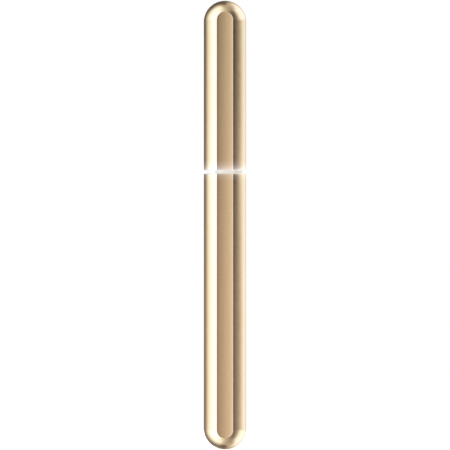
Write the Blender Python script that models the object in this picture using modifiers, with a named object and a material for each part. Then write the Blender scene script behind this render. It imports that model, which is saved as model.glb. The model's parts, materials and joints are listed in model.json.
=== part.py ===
"""Slim ultrasonic skin scrubber: a metal wand with a pull-off cap over its spatula blade.

Frame: metres, +Z up along the wand, the front face looks along -Y, and the origin is the lowest point of
the domed foot, on the wand's axis.  Sizes below are in millimetres; the helpers turn them into metres.
"""

import math

import bmesh
import bpy
from mathutils import Matrix, Vector

MM = 0.001

# Outer form ------------------------------------------------------------------------------------------------
LENGTH = 180.0
RADIUS = 8.5
HANDLE_TOP = 110.5
CAP_BOTTOM = 112.0
CAP_DOME = LENGTH - RADIUS
WALL = 0.9
BORE = RADIUS - WALL
RIM_CHAMFER = 0.2

# The front strips are shallow troughs a little below the round flanks; the rear ones are flush and flat ----
STRIP_HALF = 3.18
STRIP_FIT = 0.05
STRIP_INSET = 4.8
FRONT_FACE = 7.45
FRONT_INLAY = 0.5
TROUGH_DEPTH, TROUGH_RADIUS = 0.25, 20.8
FRONT_SEAT = FRONT_FACE - FRONT_INLAY - 0.03
FRONT_WALL = FRONT_SEAT - 0.6
REAR_FACE = 7.85
REAR_PANEL = 0.75
REAR_SEAT = REAR_FACE - REAR_PANEL - 0.03
REAR_WALL = REAR_SEAT - 0.55

# Neck: light ring in the seam, keyed spigot under the cap ------------------------------------------------
COLLAR_LOW, COLLAR_TOP, NECK_TOP = 101.0, 106.6, 118.9
NECK_TUBE, NECK_BORE = 4.4, 3.7
RING_LOW, RING_TOP, RING_RADIUS = 108.6, 112.2, 7.0
SPIGOT_LOW, SPIGOT_TOP, SPIGOT_RADIUS = 112.4, 118.8, 6.75
BAND_LOW, BAND_TOP = 115.0, 116.4
LINER_LOW, LINER_TOP, LINER_BORE = 112.3, 124.0, 6.95

# Spatula blade ------------------------------------------------------------------------------------------
BLADE_THICKNESS = 0.9
BLADE_HALF, TANG_HALF = 5.3, 3.1
TANG_LOW, TANG_TOP, SHOULDER_TOP = 102.0, 121.0, 130.0
BEND_START, BEND_RADIUS, BEND_DEGREES, TIP_LENGTH = 148.0, 20.0, 24.0, 5.0
TIP_CORNER, EDGE_LENGTH, EDGE_SHARE = 2.0, 2.4, 0.3

# Ultrasonic transducer stack ---------------------------------------------------------------------------
STACK_RADIUS, STACK_BORE = 4.4, 1.6
HORN_LOW, HORN_DISC_TOP, HORN_NECK, HORN_TOP = 91.9, 96.0, 3.3, 111.5
PIEZO_THICKNESS, WASHER_THICKNESS, STACK_GAP = 1.5, 0.2, 0.05
TAIL_LENGTH = 4.6

# Electronics --------------------------------------------------------------------------------------------
CELL_RADIUS, CELL_LOW, CELL_LENGTH, CELL_Y = 5.0, 12.8, 44.0, -0.45
BOARD_LOW, BOARD_TOP, BOARD_HALF, BOARD_Y, BOARD_THICKNESS = 58.2, 81.0, 6.2, 2.4, 1.0
MODE_Z, POWER_Z = 64.0, 75.0
KEY_HALF, KEY_LENGTH, KEY_FIT = 2.1, 7.2, 0.1
USB_LOW, USB_LENGTH = 2.1, 7.0

COLLECTION = "skin_scrubber"
CUTTERS = "cutters"
SMOOTH_ANGLE = math.radians(35.0)
FLAT_ANGLE = math.radians(0.05)
WELD = 1e-6


# Helpers ------------------------------------------------------------------------------------------------
def clear_scene():
    for obj in list(bpy.data.objects):
        bpy.data.objects.remove(obj)


def collection(name):
    found = bpy.data.collections.get(name)
    if found is None:
        found = bpy.data.collections.new(name)
        bpy.context.scene.collection.children.link(found)
    return found


def material(name, colour, roughness, metallic=0.0, glow=0.0):
    """A Principled material, made once for each name."""
    made = bpy.data.materials.get(name)
    if made is None:
        made = bpy.data.materials.new(name)
        made.use_nodes = True
        shader = made.node_tree.nodes["Principled BSDF"]
        shader.inputs["Base Color"].default_value = (*colour, 1.0)
        shader.inputs["Roughness"].default_value = roughness
        shader.inputs["Metallic"].default_value = metallic
        shader.inputs["Emission Color"].default_value = (*colour, 1.0)
        shader.inputs["Emission Strength"].default_value = glow
    return made


def as_mesh(obj, name):
    """A mesh object with obj's evaluated shape, welded, in obj's place."""
    bpy.context.view_layer.update()
    graph = bpy.context.evaluated_depsgraph_get()
    mesh = bpy.data.meshes.new_from_object(obj.evaluated_get(graph))
    mesh.transform(obj.matrix_world)
    bm = bmesh.new()
    bm.from_mesh(mesh)
    bmesh.ops.remove_doubles(bm, verts=bm.verts, dist=WELD)
    bmesh.ops.dissolve_degenerate(bm, edges=bm.edges, dist=WELD)
    bmesh.ops.dissolve_limit(bm, angle_limit=FLAT_ANGLE, verts=bm.verts, edges=bm.edges)
    bmesh.ops.recalc_face_normals(bm, faces=bm.faces)
    bm.to_mesh(mesh)
    bm.free()
    bpy.data.objects.remove(obj)
    made = bpy.data.objects.new(name, mesh)
    collection(COLLECTION).objects.link(made)
    return made


def dress(obj, made_of, pivot=None):
    """Gives a piece its material, smooth shading and, if it moves, an origin on its joint's axis."""
    obj.data.materials.clear()
    obj.data.materials.append(made_of)
    if pivot is not None:
        point = Vector(pivot) * MM
        obj.data.transform(Matrix.Translation(-point))
        obj.location = point
    obj.data.shade_smooth()
    obj.data.set_sharp_from_angle(angle=SMOOTH_ANGLE)
    return obj


def boolean(obj, other, operation):
    """Cuts, joins or intersects obj with other, which is then only a tool."""
    modifier = obj.modifiers.new(other.name, "BOOLEAN")
    modifier.operation = operation
    modifier.object = other
    if other.name not in collection(CUTTERS).objects:
        collection(CUTTERS).objects.link(other)
        collection(COLLECTION).objects.unlink(other)
    other.hide_render = True
    other.display_type = "WIRE"
    return obj


def cut(obj, *tools):
    for tool in tools:
        boolean(obj, tool, "DIFFERENCE")
    return obj


def join(obj, *tools):
    for tool in tools:
        boolean(obj, tool, "UNION")
    return obj


def keep_inside(obj, tool):
    return boolean(obj, tool, "INTERSECT")


def arc(centre, radius, start, end, steps):
    """Points on an arc in the plane, with both ends; angles are in degrees."""
    turns = [math.radians(start + (end - start) * i / steps) for i in range(steps + 1)]
    return [(centre[0] + radius * math.cos(t), centre[1] + radius * math.sin(t)) for t in turns]


def flatted(radius, front, rear, steps=12):
    """A circle cut flat at y = -front and y = rear."""
    low = -math.degrees(math.asin(front / radius))
    high = math.degrees(math.asin(rear / radius))
    right = arc((0, 0), radius, low, high, steps)
    left = arc((0, 0), radius, 180 - high, 180 - low, steps)
    return right + left


def stadium(length, width, centre=(0, 0), steps=7):
    """A slot shape, long along the second axis if length is negative."""
    half = abs(length) / 2 - width / 2
    if length > 0:
        right = arc((centre[0] + half, centre[1]), width / 2, -90, 90, steps)
        left = arc((centre[0] - half, centre[1]), width / 2, 90, 270, steps)
        return right + left
    top = arc((centre[0], centre[1] + half), width / 2, 0, 180, steps)
    foot = arc((centre[0], centre[1] - half), width / 2, 180, 360, steps)
    return top + foot


def box_outline(half_x, low, high):
    return [(-half_x, low), (half_x, low), (half_x, high), (-half_x, high)]


def slab(name, outlines, low, high, plane="XY"):
    """A flat outline, with any holes, given thickness from low to high across its plane."""
    curve = bpy.data.curves.new(name, "CURVE")
    curve.dimensions = "2D"
    curve.fill_mode = "BOTH"
    curve.extrude = (high - low) / 2 * MM
    for points in outlines:
        spline = curve.splines.new("POLY")
        spline.points.add(len(points) - 1)
        for slot, (a, b) in zip(spline.points, points):
            slot.co = (a * MM, b * MM, 0, 1)
        spline.use_cyclic_u = True
    obj = bpy.data.objects.new(name, curve)
    collection(COLLECTION).objects.link(obj)
    middle = (low + high) / 2 * MM
    if plane == "XY":
        obj.location = (0, 0, middle)
    elif plane == "XZ":
        obj.location = (0, middle, 0)
        obj.rotation_euler = (math.pi / 2, 0, 0)
    else:
        obj.location = (middle, 0, 0)
        obj.rotation_euler = (math.pi / 2, 0, math.pi / 2)
    return as_mesh(obj, name)


def block(name, x, y, z):
    """A box between the limits (low, high) on each axis."""
    bpy.ops.mesh.primitive_cube_add(size=1)
    obj = bpy.context.object
    limits = (x, y, z)
    obj.scale = [(high - low) * MM for low, high in limits]
    obj.location = [(high + low) / 2 * MM for low, high in limits]
    return as_mesh(obj, name)


def turned(name, profile, steps=32, centre=(0, 0), offset=0.0):
    """A profile of (radius, height) points, top to bottom down its outer side, turned about a line along Z.

    An offset of half a step keeps the facets' edges of a cutter off those of the piece it cuts.
    """
    mesh = bpy.data.meshes.new(name)
    points = [(r * MM, 0, z * MM) for r, z in profile]
    edges = [(i, i + 1) for i in range(len(points) - 1)]
    if profile[0][0] > 0:
        edges.append((len(points) - 1, 0))
    mesh.from_pydata(points, edges, [])
    obj = bpy.data.objects.new(name, mesh)
    collection(COLLECTION).objects.link(obj)
    screw = obj.modifiers.new("turn", "SCREW")
    screw.steps = steps
    screw.render_steps = steps
    screw.use_merge_vertices = True
    screw.merge_threshold = 1e-5
    obj.location = (centre[0] * MM, centre[1] * MM, 0)
    obj.rotation_euler.z = offset * math.tau / steps
    return as_mesh(obj, name)


def tube_profile(outer, inner, low, high):
    return [(outer, high), (outer, low), (inner, low), (inner, high)]


def rod_profile(radius, low, high):
    return [(0, high), (radius, high), (radius, low), (0, low)]


def ball(name, radius, centre_z):
    """A sphere on the wand's axis."""
    bpy.ops.mesh.primitive_uv_sphere_add(
        radius=radius * MM, segments=36, ring_count=24, location=(0, 0, centre_z * MM),
        rotation=(0, 0, math.pi / 36),
    )
    return as_mesh(bpy.context.object, name)


def cross_rod(name, radius, x, z, y_low, y_high, vertices=16):
    """A round rod along Y."""
    bpy.ops.mesh.primitive_cylinder_add(
        radius=radius * MM,
        depth=(y_high - y_low) * MM,
        vertices=vertices,
        location=(x * MM, (y_low + y_high) / 2 * MM, z * MM),
        rotation=(math.pi / 2, math.pi / vertices, 0),
    )
    return as_mesh(bpy.context.object, name)


def wire(name, points, radius, made_of):
    """A lead along a smooth curve through the points, sampled to short straight pieces."""
    curve = bpy.data.curves.new(name, "CURVE")
    curve.dimensions = "3D"
    curve.bevel_depth = radius * MM
    curve.bevel_resolution = 2
    curve.use_fill_caps = True
    route = smooth_route([Vector(p) for p in points])
    spline = curve.splines.new("POLY")
    spline.points.add(len(route) - 1)
    for slot, point in zip(spline.points, route):
        slot.co = (*(point * MM), 1)
    obj = bpy.data.objects.new(name, curve)
    collection(COLLECTION).objects.link(obj)
    return dress(as_mesh(obj, name), made_of)


def smooth_route(points, per_span=3):
    """A Catmull-Rom curve through the points."""
    padded = [2 * points[0] - points[1], *points, 2 * points[-1] - points[-2]]
    route = []
    for a, b, c, d in zip(padded, padded[1:], padded[2:], padded[3:]):
        for step in range(per_span):
            t = step / per_span
            route.append(
                0.5 * (2 * b + (c - a) * t + (2 * a - 5 * b + 4 * c - d) * t**2
                       + (3 * b - a - 3 * c + d) * t**3)
            )
    return [*route, points[-1]]


# Shells and their inlaid strips -----------------------------------------------------------------------
def cavity(name, low_dome, low, high, high_dome):
    """The hollow of a shell: round, domed at one end, with flats behind the front and rear strips."""
    profile = []
    if high_dome is None:
        profile += [(0, high), (BORE, high)]
    else:
        profile += [(BORE * math.cos(t), high_dome + BORE * math.sin(t)) for t in dome_turns(90, 0)]
    if low_dome is None:
        profile += [(BORE, low), (0, low)]
    else:
        profile += [(BORE * math.cos(t), low_dome + BORE * math.sin(t)) for t in dome_turns(0, -90)]
    hollow = turned(name, clean_axis(profile), offset=0.5)
    span = block(name + "_flats", (-10, 10), (-FRONT_WALL, REAR_WALL), (low - 10, high + 10))
    return keep_inside(hollow, span)


def dome_turns(start, end, steps=8):
    return [math.radians(start + (end - start) * i / steps) for i in range(steps + 1)]


def clean_axis(profile):
    """Points that rounding left beside the axis are put on it."""
    return [(0 if r < 1e-6 else r, z) for r, z in profile]


def strip_outline(half, low, high, round_low, round_high):
    """A long strip across the wand's face, each end round or square."""
    points = [(-half, low), (half, low)]
    if round_low:
        points = arc((0, low + half), half, 180, 360, 13)
    if round_high:
        return points + arc((0, high - half), half, 0, 180, 13)
    return points + [(half, high), (-half, high)]


FRONT_LOW, FRONT_HIGH = STRIP_INSET, LENGTH - STRIP_INSET
REAR_LOW, REAR_HIGH = RADIUS - STRIP_HALF, CAP_DOME + STRIP_HALF


def key_outline(z, grow=0.0):
    return stadium(-(KEY_LENGTH + 2 * grow), 2 * (KEY_HALF + grow), (0, z))


def handle_shell(gold):
    dome = [(RADIUS * math.cos(t), RADIUS + RADIUS * math.sin(t)) for t in dome_turns(0, -90)]
    profile = [(0, HANDLE_TOP), (RADIUS - RIM_CHAMFER, HANDLE_TOP), (RADIUS, HANDLE_TOP - RIM_CHAMFER)]
    shell = turned("handle_shell", clean_axis(profile + dome), steps=48)
    half = STRIP_HALF + STRIP_FIT
    front = strip_outline(half, FRONT_LOW - STRIP_FIT, HANDLE_TOP + 5, True, False)
    rear = strip_outline(half, REAR_LOW - STRIP_FIT, HANDLE_TOP + 5, True, False)
    cut(
        shell,
        cavity("handle_cavity", RADIUS, WALL, HANDLE_TOP + 5, None),
        slab("handle_front_pocket", [front], -12, -FRONT_SEAT, "XZ"),
        slab("handle_rear_pocket", [rear], REAR_SEAT, 12, "XZ"),
        slab("mode_key_hole", [key_outline(MODE_Z, KEY_FIT)], 5, 12, "XZ"),
        slab("power_key_hole", [key_outline(POWER_Z, KEY_FIT)], 5, 12, "XZ"),
        slab("usb_hole", [stadium(9.3, 3.6)], -2, 5),
        cover_recess(),
        turned("anchor_hole", rod_profile(0.6, -1, 6), 16, ANCHOR_PIN, 0.5),
    )
    return dress(shell, gold)


def cap_shell(gold):
    dome = [(RADIUS * math.cos(t), CAP_DOME + RADIUS * math.sin(t)) for t in dome_turns(90, 0)]
    profile = [(RADIUS, CAP_BOTTOM + RIM_CHAMFER), (RADIUS - RIM_CHAMFER, CAP_BOTTOM), (0, CAP_BOTTOM)]
    shell = turned("cap_shell", clean_axis(dome + profile), steps=48)
    half = STRIP_HALF + STRIP_FIT
    front = strip_outline(half, CAP_BOTTOM - 5, FRONT_HIGH + STRIP_FIT, False, True)
    rear = strip_outline(half, CAP_BOTTOM - 5, REAR_HIGH + STRIP_FIT, False, True)
    cut(
        shell,
        cavity("cap_cavity", None, CAP_BOTTOM - 5, LENGTH - WALL, CAP_DOME),
        slab("cap_front_pocket", [front], -12, -FRONT_SEAT, "XZ"),
        slab("cap_rear_pocket", [rear], REAR_SEAT, 12, "XZ"),
    )
    return dress(shell, gold)


def inlays(satin_gold):
    """The strips of the handle and the cap: shallow troughs in the front pockets, flat panels in the rear ones."""
    front = (-FRONT_FACE, -FRONT_FACE + FRONT_INLAY)
    rear = (REAR_FACE - REAR_PANEL, REAR_FACE)
    handle_front = strip_outline(STRIP_HALF, FRONT_LOW, HANDLE_TOP, True, False)
    cap_front = strip_outline(STRIP_HALF, CAP_BOTTOM, FRONT_HIGH, False, True)
    handle_rear = strip_outline(STRIP_HALF, REAR_LOW, HANDLE_TOP, True, False)
    cap_rear = strip_outline(STRIP_HALF, CAP_BOTTOM, REAR_HIGH, False, True)
    keys = [key_outline(z, KEY_FIT) for z in (MODE_Z, POWER_Z)]
    for name, outline in (("handle_front_inlay", handle_front), ("cap_front_inlay", cap_front)):
        strip = slab(name, [outline], *front, "XZ")
        bpy.ops.mesh.primitive_cylinder_add(
            radius=TROUGH_RADIUS * MM, depth=2 * LENGTH * MM, vertices=180,
            location=(0, (TROUGH_DEPTH - FRONT_FACE - TROUGH_RADIUS) * MM, 0),
        )
        dress(cut(strip, as_mesh(bpy.context.object, name + "_trough")), satin_gold)
    dress(slab("handle_rear_panel", [handle_rear, *keys], *rear, "XZ"), satin_gold)
    dress(slab("cap_rear_inlay", [cap_rear], *rear, "XZ"), satin_gold)


# Charging port and its cover --------------------------------------------------------------------------
COVER_LENGTH, COVER_WIDTH, COVER_THICKNESS, COVER_FIT = 11.2, 5.4, 0.5, 0.1
COVER_HINGE = (-5.65, 0.0, 2.1)
ANCHOR_X, ANCHOR_HALF = (-7.2, -5.72), 1.3
ANCHOR_PIN = (-6.4, 0.0)
BOSS_LENGTH, BOSS_WIDTH, BOSS_TOP = 8.8, 3.1, 1.9
RELIEF_RADIUS, RELIEF_Z = 0.6, 2.85


def anchor_outline(grow=0.0):
    left, right = ANCHOR_X[0] - grow, ANCHOR_X[1] + grow
    half = ANCHOR_HALF + grow
    return [(right, half), *arc((left + half, 0), half, 90, 270, 6), (right, -half)]


def cover_recess():
    """The shallow seat round the port, which follows the dome."""
    seat = slab("cover_seat", [stadium(COVER_LENGTH + 2 * COVER_FIT, COVER_WIDTH + 2 * COVER_FIT)], -2, 4.5)
    join(seat, slab("anchor_seat", [anchor_outline(COVER_FIT)], -2.2, 5.7))
    return cut(seat, ball("seat_floor", RADIUS - COVER_THICKNESS - 0.05, RADIUS))


def port_cover(soft_gold):
    """The flap and the boss on its inner side, which swing together about the hinge line."""
    cover = slab("port_cover", [stadium(COVER_LENGTH, COVER_WIDTH)], -1, 4)
    cut(cover, ball("cover_inside", RADIUS - COVER_THICKNESS, RADIUS))
    join(cover, slab("cover_boss", [stadium(BOSS_LENGTH, BOSS_WIDTH)], -0.9, BOSS_TOP))
    keep_inside(cover, ball("cover_outside", RADIUS - 0.01, RADIUS))
    cut(cover, cross_rod("hinge_relief", RELIEF_RADIUS, COVER_HINGE[0], RELIEF_Z, -4, 4))
    dress(cover, soft_gold, pivot=COVER_HINGE)
    anchor = slab("port_cover_anchor", [anchor_outline()], 0, 5.6)
    cut(anchor, ball("anchor_inside", RADIUS - COVER_THICKNESS, RADIUS))
    join(anchor, turned("anchor_pin", rod_profile(0.5, 2.9, 4.5), 12, ANCHOR_PIN, 0.5))
    keep_inside(anchor, ball("anchor_outside", RADIUS - 0.01, RADIUS))
    dress(anchor, soft_gold)


def charging_port(steel, black, board, rubber):
    outer, inner = stadium(8.94, 3.26), stadium(8.34, 2.66)
    dress(slab("usb_c_shell", [outer, inner], USB_LOW, USB_LOW + USB_LENGTH), steel)
    tongue = block("usb_c_tongue", (-3.35, 3.35), (-0.35, 0.35), (USB_LOW + 0.9, USB_LOW + 6.5))
    join(tongue, slab("tongue_base", [stadium(8.2, 2.5)], USB_LOW + 5.9, USB_LOW + 7.2))
    dress(tongue, black)
    gasket = [stadium(10.3, 4.6), stadium(9.1, 3.42)]
    dress(slab("port_gasket", gasket, 3.6, 4.7), rubber)
    dress(block("port_board", (-5.0, 5.0), (1.7, 2.5), (4.9, 12.0)), board)


# Neck -------------------------------------------------------------------------------------------------
def neck(white_plastic, diffuser, board, led, rubber):
    profile = [
        (NECK_TUBE, NECK_TOP), (NECK_TUBE, COLLAR_TOP), (BORE - 0.15, COLLAR_TOP),
        (BORE - 0.15, COLLAR_LOW), (NECK_BORE, COLLAR_LOW), (NECK_BORE, NECK_TOP),
    ]
    collar = turned("neck_collar", profile)
    flats = (-FRONT_WALL + 0.1, REAR_WALL - 0.1)
    keep_inside(collar, block("collar_flats", (-10, 10), flats, (COLLAR_LOW - 5, NECK_TOP + 5)))
    for side, x in SCREW_SIDES.items():
        cut(collar, turned(f"collar_hole_{side}", screw_hole_profile(), 12, (x, 0), 0.5))
    lead_hole = rod_profile(0.5, COLLAR_LOW - 1, COLLAR_TOP + 1)
    cut(collar, turned("led_lead_hole", lead_hole, 12, (0, 5.3), 0.5))
    dress(collar, white_plastic)

    bore = arc((0, 0), NECK_TUBE + 0.1, 0, 352.5, 23)
    ring = flatted(RING_RADIUS, FRONT_WALL - 0.5, REAR_WALL - 0.5)
    dress(slab("light_ring", [ring, bore], RING_LOW, RING_TOP), diffuser)
    plate = flatted(RING_RADIUS - 0.1, FRONT_WALL - 0.6, REAR_WALL - 0.6)
    low = COLLAR_TOP + 0.1
    dress(slab("led_ring_board", [plate, bore], low, low + 0.8), board)
    for number, degrees in enumerate((30, 150, 210, 330), start=1):
        x, y = arc((0, 0), 5.75, degrees, degrees, 1)[0]
        dress(block(f"led_{number}", (x - 0.8, x + 0.8), (y - 0.5, y + 0.5), (low + 0.85, low + 1.5)), led)

    outer = flatted(SPIGOT_RADIUS, FRONT_WALL - 0.75, REAR_WALL - 0.75)
    spigot = slab("cap_spigot", [outer, bore], SPIGOT_LOW, SPIGOT_TOP)
    groove = [flatted(9, 8, 8), flatted(SPIGOT_RADIUS - 0.45, FRONT_WALL - 1.2, REAR_WALL - 1.2)]
    cut(spigot, slab("band_groove", groove, BAND_LOW - 0.05, BAND_TOP + 0.05))
    dress(spigot, white_plastic)
    band = [
        flatted(SPIGOT_RADIUS + 0.13, FRONT_WALL - 0.64, REAR_WALL - 0.64),
        flatted(SPIGOT_RADIUS - 0.38, FRONT_WALL - 1.13, REAR_WALL - 1.13),
    ]
    dress(slab("cap_seal_band", band, BAND_LOW, BAND_TOP), rubber)


def cap_liner(white_plastic):
    outer = flatted(BORE - 0.1, FRONT_WALL - 0.1, REAR_WALL - 0.1)
    inner = flatted(LINER_BORE, FRONT_WALL - 0.6, REAR_WALL - 0.6)
    dress(slab("cap_liner", [outer, inner], LINER_LOW, LINER_TOP), white_plastic)


SCREW_SIDES = {"left": -6.2, "right": 6.2}
SCREW_HEAD, SCREW_SHANK, SCREW_LOW = 0.85, 0.5, 97.5


def screw_hole_profile():
    seat = COLLAR_TOP - 1.1
    return [(0, COLLAR_TOP + 1), (SCREW_HEAD + 0.1, COLLAR_TOP + 1), (SCREW_HEAD + 0.1, seat),
            (SCREW_SHANK + 0.08, seat), (SCREW_SHANK + 0.08, SCREW_LOW - 0.3), (0, SCREW_LOW - 0.3)]


def collar_screws(steel):
    head_low = COLLAR_TOP - 1.05
    for side, x in SCREW_SIDES.items():
        profile = [(0, COLLAR_TOP - 0.15), (SCREW_HEAD, COLLAR_TOP - 0.15), (SCREW_HEAD, head_low),
                   (SCREW_SHANK, head_low), (SCREW_SHANK, SCREW_LOW), (0, SCREW_LOW)]
        screw = turned(f"collar_screw_{side}", profile, 16, (x, 0))
        for turn, (half_x, half_y) in enumerate(((0.6, 0.14), (0.14, 0.6))):
            slot = block(f"slot_{side}_{turn}", (x - half_x, x + half_x), (-half_y, half_y),
                         (COLLAR_TOP - 0.5 - 0.01 * turn, COLLAR_TOP))
            cut(screw, slot)
        dress(screw, steel)


# Blade, boot and transducer -----------------------------------------------------------------------------
def blade_length():
    return BEND_START + math.radians(BEND_DEGREES) * BEND_RADIUS + TIP_LENGTH


def blade_outline(grow=0.0):
    """The flat blank: a narrow tang, curved shoulders, parallel sides and a softly rounded tip."""
    tip = blade_length() + grow
    tang, half = TANG_HALF + grow, BLADE_HALF + grow
    rise = SHOULDER_TOP - TANG_TOP
    steps = 8
    shoulder = []
    for i in range(steps + 1):
        t = i / steps
        ease = t * t * (3 - 2 * t)
        shoulder.append((tang + (half - tang) * ease, TANG_TOP + rise * t))
    corner = arc((half - TIP_CORNER, tip - TIP_CORNER), TIP_CORNER, 0, 90, 5)
    right = [(tang, TANG_LOW - grow), *shoulder, *corner]
    return right + [(-x, z) for x, z in reversed(right)]


def bend_blade(obj):
    """Curves the blank's outer end forwards and thins its edge."""
    bm = bmesh.new()
    bm.from_mesh(obj.data)
    arc_length = math.radians(BEND_DEGREES) * BEND_RADIUS
    stations = [BEND_START + arc_length * i / 8 for i in range(9)] + [blade_length() - EDGE_LENGTH]
    for station in stations:
        geometry = [*bm.verts, *bm.edges, *bm.faces]
        bmesh.ops.bisect_plane(bm, geom=geometry, plane_co=(0, 0, station * MM), plane_no=(0, 0, 1))
    for vert in bm.verts:
        y, z = vert.co.y / MM, vert.co.z / MM
        thinning = max(0.0, z - (blade_length() - EDGE_LENGTH)) / EDGE_LENGTH
        y *= 1 - (1 - EDGE_SHARE) * thinning
        along = max(0.0, z - BEND_START)
        turn = min(along / BEND_RADIUS, math.radians(BEND_DEGREES))
        beyond = max(0.0, along - arc_length)
        base = min(z, BEND_START)
        radius = BEND_RADIUS + y
        z = base + radius * math.sin(turn) + beyond * math.cos(turn)
        y = radius * math.cos(turn) - BEND_RADIUS - beyond * math.sin(turn)
        vert.co.y, vert.co.z = y * MM, z * MM
    bm.to_mesh(obj.data)
    bm.free()
    return obj


def blade(steel):
    half = BLADE_THICKNESS / 2
    body = slab("spatula_blade", [blade_outline()], -half, half, "XZ")
    bend_blade(body)
    for height, z in RIVETS.items():
        cut(body, cross_rod(f"blade_hole_{height}", RIVET_RADIUS + 0.05, 0, z, -3, 3))
    dress(body, steel)


RIVETS = {"lower": 104.2, "upper": 108.8}
RIVET_RADIUS = 0.7


def boot(rubber):
    """The silicone boot that seals the blade into the neck: a plug below and a tapering lip above."""
    sections = [
        (3.55, 3.55, 113.0), (3.55, 3.55, 119.0), (5.4, 5.0, 119.1), (5.6, 5.1, 119.8),
        (5.45, 4.3, 121.0), (5.25, 3.0, 122.4), (5.1, 2.0, 123.6), (5.0, 1.5, 124.4), (4.8, 1.2, 124.6),
    ]
    body = loft("blade_boot", sections, 28)
    half = BLADE_THICKNESS / 2 + 0.08
    slot = slab("boot_slot", [blade_outline(0.12)], -half, half, "XZ")
    dress(cut(body, slot), rubber)


def loft(name, sections, sides):
    """Elliptical sections (half width, half depth, height), joined bottom to top."""
    bm = bmesh.new()
    rings = []
    for half_x, half_y, z in sections:
        ring = []
        for x, y in arc((0, 0), 1, 0, 360 - 360 / sides, sides - 1):
            ring.append(bm.verts.new((half_x * x * MM, half_y * y * MM, z * MM)))
        rings.append(ring)
    for low, high in zip(rings, rings[1:]):
        for i in range(sides):
            j = (i + 1) % sides
            bm.faces.new((low[i], low[j], high[j], high[i]))
    bm.faces.new(list(reversed(rings[0])))
    bm.faces.new(rings[-1])
    mesh = bpy.data.meshes.new(name)
    bm.to_mesh(mesh)
    bm.free()
    obj = bpy.data.objects.new(name, mesh)
    collection(COLLECTION).objects.link(obj)
    return obj


def transducer(aluminium, steel, ceramic, brass, rubber):
    profile = [
        (0, HORN_TOP), (HORN_NECK, HORN_TOP), (HORN_NECK, HORN_DISC_TOP + 3.5), (STACK_RADIUS, HORN_DISC_TOP),
        (STACK_RADIUS, HORN_LOW), (0, HORN_LOW),
    ]
    horn = turned("transducer_horn", profile)
    half = BLADE_THICKNESS / 2 + 0.05
    cut(horn, block("horn_slot", (-TANG_HALF - 1, TANG_HALF + 1), (-half, half), (TANG_LOW - 0.1, HORN_TOP + 1)))
    cut(horn, turned("horn_thread", rod_profile(1.3, HORN_LOW - 1, HORN_LOW + 5.2), 16, offset=0.5))
    for height, z in RIVETS.items():
        cut(horn, cross_rod(f"horn_hole_{height}", RIVET_RADIUS + 0.05, 0, z, -5, 5))
        depth = math.sqrt(HORN_NECK**2 - RIVET_RADIUS**2) - 0.05
        dress(cross_rod(f"blade_rivet_{height}", RIVET_RADIUS, 0, z, -depth, depth), steel)
    dress(horn, aluminium)
    dress(turned("isolation_ring", tube_profile(5.35, STACK_RADIUS + 0.06, 92.6, 95.4)), rubber)

    top = HORN_LOW - STACK_GAP
    for name in ("piezo_ring_upper", "piezo_ring_lower"):
        low = top - PIEZO_THICKNESS
        dress(turned(name, tube_profile(STACK_RADIUS - 0.1, STACK_BORE, low, top), 24), ceramic)
        top = low - STACK_GAP
        if name == "piezo_ring_upper":
            low = top - WASHER_THICKNESS
            washer = turned("electrode_washer", tube_profile(STACK_RADIUS - 0.1, STACK_BORE, low, top), 24)
            tab = block("washer_tab", (1.9, 3.1), (3.0, 5.0), (low + 0.02, top - 0.02))
            dress(join(washer, tab), brass)
            top = low - STACK_GAP
    low = top - TAIL_LENGTH
    dress(turned("tail_mass", tube_profile(STACK_RADIUS, STACK_BORE, low, top), 24), steel)
    head = low - STACK_GAP
    bolt = turned(
        "preload_bolt",
        [(0, HORN_LOW + 4.5), (1.2, HORN_LOW + 4.5), (1.2, head), (2.2, head), (2.2, head - 1.9), (0, head - 1.9)],
        24,
    )
    bpy.ops.mesh.primitive_cylinder_add(
        radius=1.15 * MM, depth=2.4 * MM, vertices=6, location=(0, 0, (head - 1.9) * MM)
    )
    dress(cut(bolt, as_mesh(bpy.context.object, "hex_socket")), steel)


# Chassis and electronics -------------------------------------------------------------------------------
def chassis(grey_plastic):
    """The one-piece sled that carries the port, the cell, the board and the transducer."""
    radius = BORE - 0.15
    low, high = 3.2, COLLAR_LOW - 0.1
    start = -math.degrees(math.asin((RADIUS - low) / radius))
    dome = [(radius * math.cos(t), RADIUS + radius * math.sin(t)) for t in dome_turns(0, start, 5)]
    sled = turned("inner_chassis", [(0, high), (radius, high), *dome, (0, low)])
    flats = (-FRONT_WALL + 0.1, REAR_WALL - 0.1)
    keep_inside(sled, block("chassis_flats", (-10, 10), flats, (-5, high + 5)))
    bay = CELL_RADIUS + 0.15
    cell_top = CELL_LOW + CELL_LENGTH
    cut(
        sled,
        block("port_bay", (-5.3, 5.3), (-2.5, 8), (2, 12.2)),
        turned("cell_bay", rod_profile(bay, CELL_LOW - 0.3, cell_top + 0.7), 24, (0, CELL_Y), 0.5),
        block("cell_way_in", (-bay + 0.1, bay - 0.1), (CELL_Y, 8), (CELL_LOW - 0.35, cell_top + 0.75)),
        block("flex_way", (-4.4, 4.4), (3.2, 8), (11, BOARD_LOW)),
        block("anchor_clearance", (-8, -5), (-0.9, 0.9), (2, 6)),
        block("board_bay", (-5.4, 5.4), (-5.2, 8), (BOARD_LOW - 0.2, BOARD_TOP + 0.3)),
        block("board_ledge", (-6.35, 6.35), (BOARD_Y - 0.05, 8), (BOARD_LOW - 0.25, BOARD_TOP + 0.35)),
        turned("stack_bay", rod_profile(5.45, BOARD_TOP - 1, high + 2), offset=0.5),
        block("lead_way", (-4.4, 4.4), (0, 8), (BOARD_TOP - 0.5, high + 2.5)),
    )
    for side, x in SCREW_SIDES.items():
        profile = rod_profile(SCREW_SHANK + 0.08, SCREW_LOW - 0.3, high + 1)
        cut(sled, turned(f"chassis_hole_{side}", profile, 12, (x, 0), 0.5))
    dress(sled, grey_plastic)


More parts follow.
